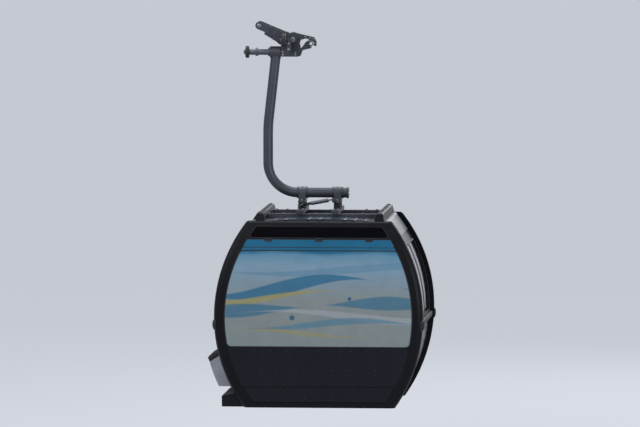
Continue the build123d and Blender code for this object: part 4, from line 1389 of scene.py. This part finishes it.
@dataclass(frozen=True)
class HangerArm(Assembly):
    """Weld beads, collars and cap bolts of the bent arm."""

    radius: float = 0.057
    eye_radius: float = 0.068
    eye_height: float = -0.100
    head: Vector3 = (-0.410, 0.0, -0.140)
    shoulder: Vector3 = (-0.500, 0.0, -0.950)
    axis_height: float = -1.727
    end: float = 0.420
    cap: float = 0.014
    cap_bolts: float = 0.046
    bolt: float = 0.008
    pin: float = 0.006
    collars: tuple[float, ...] = (-0.156, -0.044, 0.254, 0.366)
    collar: Vector3 = (0.008, 0.010, 0.0015)
    bead: float = 0.0065

    def eye_weld(self) -> Shell:
        """The seam where the tube meets its eye.

        A point of the seam lies on the tube at an angle, and slides along the tube to the height where the
        eye's circle has the same place along the rope.
        """
        down = unit(np.array(self.shoulder) - self.head)
        side = (-down[2], 0.0, down[0])
        ring = self.head + circle(self.radius, 48) @ (side, (0.0, 1.0, 0.0))
        level = self.eye_height - np.sqrt(self.eye_radius ** 2 - ring[:, 1] ** 2)
        seam = ring + column((level - ring[:, 2]) / down[2]) * down
        return sweep(seam, circle(self.bead, 8), down, closed=True)

    def ring(self, place: float, profile: Profile) -> Shell:
        """A turned ring round the arm's lower run."""
        return lathe(profile, 40, wrap=True).spread((place, 0.0, self.axis_height), facing((1, 0, 0)))

    def pieces(self) -> list[Piece]:
        """The arm's pieces."""
        half, rise, bevel = self.collar
        outer = self.radius + rise
        collar = both_sides(-half, half, (self.radius - 0.001, 0), (outer - bevel, 0), (outer, bevel))
        seam = circle(self.bead, 8) + (self.radius, 0.0)
        cosine, sine = self.cap_bolts * spokes(6, 30).T
        bolts = hex_bolt(self.bolt).spread(points(self.end + self.cap, cosine, self.axis_height + sine),
                                           facing((1, 0, 0)))
        pins = button_screw(self.pin).spread(points(self.collars, 0.0, self.axis_height + outer))
        return [
            Piece("arm_welds", WELD, [self.eye_weld(), self.ring(self.end - 0.002, seam)], sharp=80),
            Piece("arm_collars", ARM_PAINT, [self.ring(place, collar) for place in self.collars]),
            Piece("arm_bolts", BOLT, [bolts, pins]),
        ]


@dataclass(frozen=True)
class Roller(Assembly):
    """A wheel or roller: its tread, hub and place, and the way its axle points."""

    name: str
    body: Body
    centre: Vector3
    axis: Vector3
    radius: float
    width: float
    bore: float
    hub: float
    grooves: int

    def placed(self, profile: Profile, sides: int) -> Shell:
        """A profile turned round the axle, at the roller's place."""
        return lathe(profile, sides, wrap=True).spread(self.centre, facing(self.axis))

    def tread(self) -> Shell:
        """The rubber: a closed profile with rounded shoulders and shallow grooves, turned round the axle."""
        half, radius, depth = self.width / 2, self.radius, 0.0025
        groove = ((0, -0.0025), (-depth, -0.001), (-depth, 0.001), (0, 0.0025))
        places = np.linspace(-half, half, self.grooves + 2)[1:-1]
        middle = [(radius + r, place + h) for place in places for r, h in groove]
        shoulder = ((self.hub, 0), (radius - 0.010, 0), (radius - 0.003, 0.003), (radius, 0.010))
        return self.placed(both_sides(-half, half, *shoulder, middle=middle), 56)

    def core(self) -> Shell:
        """The metal hub: a dished closed profile with a raised boss and rim."""
        half, web, dish, rise = self.width / 2, self.hub - self.bore, -0.006, 0.001
        shape = ((0, rise), (0.18, rise), (0.30, dish), (0.72, dish), (0.82, rise))
        side = [(self.bore + share * web, level) for share, level in shape]
        return self.placed(both_sides(half, -half, *side, (self.hub + 0.0005, rise)), 48)

    def rivets(self) -> list[Shell]:
        """Bolts round the hub on both sides, so that its turning shows."""
        (first, second, out), size, level = facing(self.axis)[0].T, 0.005, self.width / 2 - 0.0055
        ring = self.centre + circle((self.bore + self.hub) / 2, 6) @ (first, second)
        return [button_screw(size).spread(ring + way * level * out, facing(way * out)) for way in SIDES]

    def pieces(self) -> list[Piece]:
        """The tread, the hub and its bolts."""
        made = [Piece(f"{self.name}_tread", ROLLER, [self.tread()], self.body, (self.body.value,), 50)]
        if self.hub > self.bore:
            made += [Piece(f"{self.name}_hub", STEEL, [self.core()], self.body),
                     Piece(f"{self.name}_hub_bolts", BOLT, self.rivets(), self.body)]
        return made


@dataclass(frozen=True)
class Grip(Assembly):
    """Wheels, nuts, bolts, spring bands and pads of the rope grip."""

    wheel: Vector3 = (-0.300, 0.210, 0.047)
    guide: Vector3 = (-0.740, 0.0, -0.100)
    coupling: Vector3 = (-0.596, 0.0, 0.210)
    bolts: tuple[BoltRow, ...] = (
        (0.009, 0.069, ((-0.322, -0.128), (-0.322, -0.096), (-0.178, -0.128), (-0.178, -0.100))),
        (0.011, 0.2343, ((-0.242, -0.058), (-0.242, 0.010))))
    jaw_bolts: tuple[BoltRow, ...] = (
        (0.017, 0.090, (coupling[::2],)), (0.007, 0.040, ((-0.010, 0.063), (0.027, 0.057), (-0.066, 0.082))))
    pad: Vector3 = (-0.250, 0.0655, -0.113)
    pad_size: Vector3 = (0.180, 0.052, 0.012)
    pad_plate: Pair = (0.004, 0.0015)
    pin: Vector3 = (-0.207, 0.098, 0.047)
    pin_radius: float = 0.032
    spring_from: Vector3 = (-0.322, 0.0, 0.040)
    spring_to: Vector3 = (-0.516, 0.0, 0.160)
    spring_radius: float = 0.060
    band_places: Vector3 = (0.045, 0.105, 0.165)
    band: Vector3 = (0.006, 0.0045, 0.002)
    nut_length: float = 0.022
    nut: float = 0.028
    nipple: float = 0.0045
    nipples: tuple[Vector3, ...] = ((-0.630, 0.0, -0.054), (-0.489, 0.0, -0.050))

    def rollers(self) -> list[Roller]:
        """The grip's wheels and rollers."""
        along, across = (1.0, 0.0, 0.0), (0.0, 1.0, 0.0)
        (x, y, z), size = self.wheel, (0.080, 0.050, 0.0183, 0.052, 3)
        return [Roller("wheel_rear", Body.WHEEL_REAR, (x, -y, z), along, *size),
                Roller("wheel_front", Body.WHEEL_FRONT, (x, y, z), along, *size),
                Roller("guide", Body.GUIDE, self.guide, along, 0.070, 0.042, 0.0203, 0.046, 1),
                Roller("coupling", Body.COUPLING, self.coupling, across, 0.035, 0.132, 0.0163, 0.0163, 4)]

    def axle_nuts(self) -> Shell:
        """Hexagonal nuts with a domed end on the axles of the wheels and the guide roller."""
        nut = lathe(((0, 0), (1, 0), (1, 0.38), (0.9, 0.45), (0, 0.45)), 6, size=self.nut)
        dome = lathe(((0, 0.2), (0.62, 0.2), (0.62, 0.5), (0.5, 0.62), (0, 0.66)), 24, size=self.nut)
        (x, y, z), (end, _, height) = self.wheel, self.guide
        spots = ((x - 0.0285, -y, z), (x - 0.0285, y, z), (end - 0.0255, 0.0, height))
        return Shell.join(nut, dome).spread(spots, facing((-1, 0, 0)))

    def spring_bands(self) -> Shell:
        """Rings round the spring's tube and a threaded end beyond its nut."""
        way = np.array(self.spring_to) - self.spring_from
        length = float(np.linalg.norm(way))
        (half, rise, bevel), inner = self.band, self.spring_radius - 0.001
        outer, end = self.spring_radius + rise, length + self.nut_length
        rings = [lathe(both_sides(place - half, place + half, (inner, 0), (outer - bevel, 0), (outer, bevel)),
                       48, wrap=True) for place in (*self.band_places, length - 0.014)]
        thread = [(r, end + start + h) for start in 0.0025 * np.arange(4)
                  for r, h in ((0.0095, 0), (0.0105, 0.00125))]
        rod = lathe([(0, end - 0.002), *thread, (0.008, end + 0.011), (0, end + 0.012)], 20)
        return Shell.join(*rings, rod).spread(self.spring_from, facing(way))

    def both_faces(self, shell: Shell, across: Number, face: float, height: Number) -> list[Shell]:
        """Copies of a shell on the two faces that look along the rope, at that way from the middle."""
        return [shell.spread(points(across, sign * face, height), facing((0, sign, 0))) for sign in SIDES]

    def bolted(self, rows: Sequence[BoltRow]) -> list[Shell]:
        """Bolts on both faces: each row says their size, how far out the face is, and their places."""
        return [shell for size, face, places in rows for across, height in [np.transpose(places)]
                for shell in self.both_faces(hex_bolt(size), across, face, height)]

    def pieces(self) -> list[Piece]:
        """The grip's pieces."""
        pad = plate(rounded_oblong(*self.pad_size), *self.pad_plate)
        cap = lathe(((0, -0.02), (1, -0.02), (1, 0.14), (0.9, 0.24), (0.55, 0.27), (0.5, 0.2), (0, 0.2)), 36,
                    size=self.pin_radius)
        nipple = lathe(((0, -0.3), (1, -0.3), (1, 0.5), (0.55, 0.7), (0.55, 1.3), (0.8, 1.6), (0.6, 2.0),
                        (0, 2.1)), 12, size=self.nipple)
        return [
            *(piece for roller in self.rollers() for piece in roller.pieces()),
            Piece("grip_axle_nuts", STEEL, [self.axle_nuts()], Body.GRIP),
            Piece("spring_bands", STEEL, [self.spring_bands()], Body.GRIP),
            Piece("grip_bolts", BOLT, self.bolted(self.bolts), Body.GRIP),
            Piece("grip_pads", GRIP_PAINT, self.both_faces(pad, *self.pad), Body.GRIP),
            Piece("grip_grease_nipples", BOLT, [nipple.spread(self.nipples)], Body.GRIP),
            Piece("jaw_caps", BOLT, self.both_faces(cap, *self.pin) + self.bolted(self.jaw_bolts), Body.JAW),
        ]


@dataclass(frozen=True)
class Interior(Assembly):
    """Pads on the benches and a grab rail along the blind wall."""

    seats: int = 5
    pitch: float = 0.372
    seat: Pair = (0.640, 0.5772)
    seat_tilt: float = 0.0397
    back: Pair = (0.8505, 0.775)
    back_tilt: float = 0.110
    seat_pad: Vector3 = (0.340, 0.325, 0.022)
    back_pad: Vector3 = (0.325, 0.330, 0.018)
    rail_half: float = 0.780
    rail_height: float = 0.955
    rail_insets: Pair = (0.075, 0.130)
    rail_radius: float = 0.014
    rail_bend: float = 0.035

    def pads(self, end: End) -> list[Shell]:
        """A pad on each seat and on its back."""
        across, sign = (np.arange(self.seats) - (self.seats - 1) / 2) * self.pitch, end.wall.sign
        rows = ((self.seat_pad, self.seat, (0, sign * self.seat_tilt, 1)),
                (self.back_pad, self.back, (0, -sign, self.back_tilt)))
        return [cushion(*size).spread(CABIN.spot(across, sign * along, height), facing(out))
                for size, (along, height), out in rows]

    def pieces(self) -> list[Piece]:
        """The interior's pieces."""
        near, far = self.rail_insets
        nodes = CABIN.on(Wall.BLIND, self.rail_half * np.array((-1, -1, 1, 1)), self.rail_height,
                         np.array((near, far, far, near)))
        tube = sweep(bent_path(nodes, self.rail_bend), circle(self.rail_radius, 14), (0, 0, 1))
        return [*(Piece(f"seat_pads_{end.label}", SEAT_PAD, self.pads(end)) for end in End),
                Piece("grab_rail", BOLT, [tube])]


@dataclass(frozen=True)
class Underside(Assembly):
    """Ridges of the floor pan and the bolts of the floor beams."""

    pan: float = 0.060
    ridge: Vector3 = (0.190, 0.060, 0.007)
    bolt: float = 0.012
    beams: tuple[float, ...] = (-0.469, -0.156, 0.156, 0.469)
    bolt_places: tuple[float, ...] = (-0.52, -0.18, 0.18, 0.52)
    ridge_places: Vector3 = (-0.36, 0.0, 0.36)

    def pieces(self) -> list[Piece]:
        """The underside's pieces."""
        upside_down = np.diag((1.0, -1.0, -1.0))
        beams = column(self.beams)
        bolts = hex_bolt(self.bolt).spread(CABIN.spot(self.bolt_places, beams, 0.0), upside_down)
        gaps = (beams[1:] + beams[:-1]) / 2
        ridges = swage(*self.ridge).spread(CABIN.spot(self.ridge_places, gaps, self.pan), upside_down)
        return [Piece("floor_beam_bolts", BOLT, [bolts]), Piece("floor_pan_ridges", ALUMINIUM, [ridges])]


# Studio


@dataclass
class Studio:
    """Pale floor, soft lamps and the camera at the photograph's angle."""

    azimuth: float = math.radians(4.5)
    elevation: float = math.radians(4.0)
    distance: float = 110.0
    picture: tuple[int, int] = (640, 427)
    fill: float = 0.90
    sensor: float = 36.0
    clip: float = 1500.0
    floor_gap: float = 0.55
    floor_half: float = 400.0
    floor_lit: float = 0.25
    pale: Colour = rgb(206, 210, 218)
    sky: Colour = rgb(150, 153, 160)
    lamps: tuple[tuple[str, Vector3, float, float], ...] = (
        ("key", (-7.0, -11.0, 7.0), 6.0, 900.0), ("fill", (9.0, -10.0, 2.0), 6.0, 520.0),
        ("top", (0.0, 1.0, 9.0), 8.0, 620.0), ("back", (5.0, 11.0, 5.0), 6.0, 500.0))

    def build(self) -> None:
        """Makes the floor, world, lamps and camera."""
        low, high = CAD_BOX
        centre = (low + high) / 2
        self.floor(low.z - self.floor_gap)
        self.world()
        for name, place, size, power in self.lamps:
            light, away = bpy.data.lights.new(name, "AREA"), Vector(place)
            light.size, light.energy = size, power
            self.hold(linked(name, light), centre + away, away).visible_camera = False
        self.camera(centre, high.z - low.z)
        bpy.context.scene.view_settings.view_transform = "Standard"

    def hold(self, holder: bpy.types.Object, place: Vector, away: Vector) -> bpy.types.Object:
        """Puts a lamp or camera at a place, with its back the way that is given."""
        holder.location = place
        holder.rotation_mode = "QUATERNION"
        holder.rotation_quaternion = away.to_track_quat("Z", "Y")
        return holder

    def seen(self, graph: Graph) -> Output:
        """One where a camera, mirror or glass ray looks, and nothing for the light that falls on things."""
        rays = graph.node("LightPath").outputs
        return graph.math("MAXIMUM", rays["Is Camera Ray"],
                          graph.math("MAXIMUM", rays["Is Glossy Ray"], rays["Is Transmission Ray"]))

    def floor(self, height: float) -> None:
        """A plain plane, mostly flat in tone, that takes the object's shadow and is clear from underneath."""
        mesh, half = bpy.data.meshes.new("floor"), self.floor_half
        corners = [(half * x, half * y, height) for x, y in ((-1, -1), (1, -1), (1, 1), (-1, 1))]
        mesh.from_pydata(corners, [], [range(4)])
        material = bpy.data.materials.new("pale_floor")
        material.use_nodes = True
        mesh.materials.append(material)
        graph, nodes = Graph(material.node_tree), material.node_tree.nodes
        shader, seen = nodes["Principled BSDF"], self.seen(graph)
        lit = tuple(self.floor_lit * c for c in self.pale)
        graph.feed(shader, {"Roughness": 0.9, "Emission Color": (*self.pale, 1),
                            "Base Color": graph.mix(seen, self.pale, lit),
                            "Emission Strength": graph.math("MULTIPLY", seen, 1 - self.floor_lit)})
        under, clear = graph.value("NewGeometry", "Backfacing"), graph.value("BsdfTransparent", 0)
        surface = graph.value("MixShader", 0, {0: under, 1: shader.outputs[0], 2: clear})
        graph.feed(nodes["Material Output"], {"Surface": surface})
        linked("floor", mesh)

    def world(self) -> None:
        """A plain pale sky that cameras and reflections see as the floor's colour."""
        world = bpy.data.worlds.new("studio")
        world.use_nodes = True
        bpy.context.scene.world = world
        graph = Graph(world.node_tree)
        graph.feed(world.node_tree.nodes["Background"], {
            "Strength": 1.0, "Color": graph.mix(self.seen(graph), self.sky, self.pale)})

    def camera(self, centre: Vector, height: float) -> None:
        """A long lens far away, so that the picture is as flat as the photograph.

        Args:
            centre: the middle of the object.
            height: how tall the object is, in metres.
        """
        data = bpy.data.cameras.new("camera")
        level = math.cos(self.elevation)
        away = Vector((math.sin(self.azimuth) * level, -math.cos(self.azimuth) * level,
                       math.sin(self.elevation)))
        width, tall = self.picture
        data.sensor_width, data.clip_end = self.sensor, self.clip
        data.lens = self.sensor * (tall * self.fill / height) * self.distance / width
        bpy.context.scene.camera = self.hold(linked("camera", data), centre + away * self.distance, away)


def main() -> None:
    """Builds the visual model around the frame."""
    logging.basicConfig(level=logging.INFO, format="%(name)s: %(message)s")
    Studio().build()
    dress_nodes()
    assemblies = [EndWall(End.REAR), EndWall(End.FRONT), SideWalls(), DoorLeaf(End.REAR), DoorLeaf(End.FRONT),
                  Sill(), Roof(), Suspension(), HangerArm(), Grip(), Interior(), Underside()]
    for assembly in assemblies:
        assembly.build()


if __name__ == "__main__":
    main()
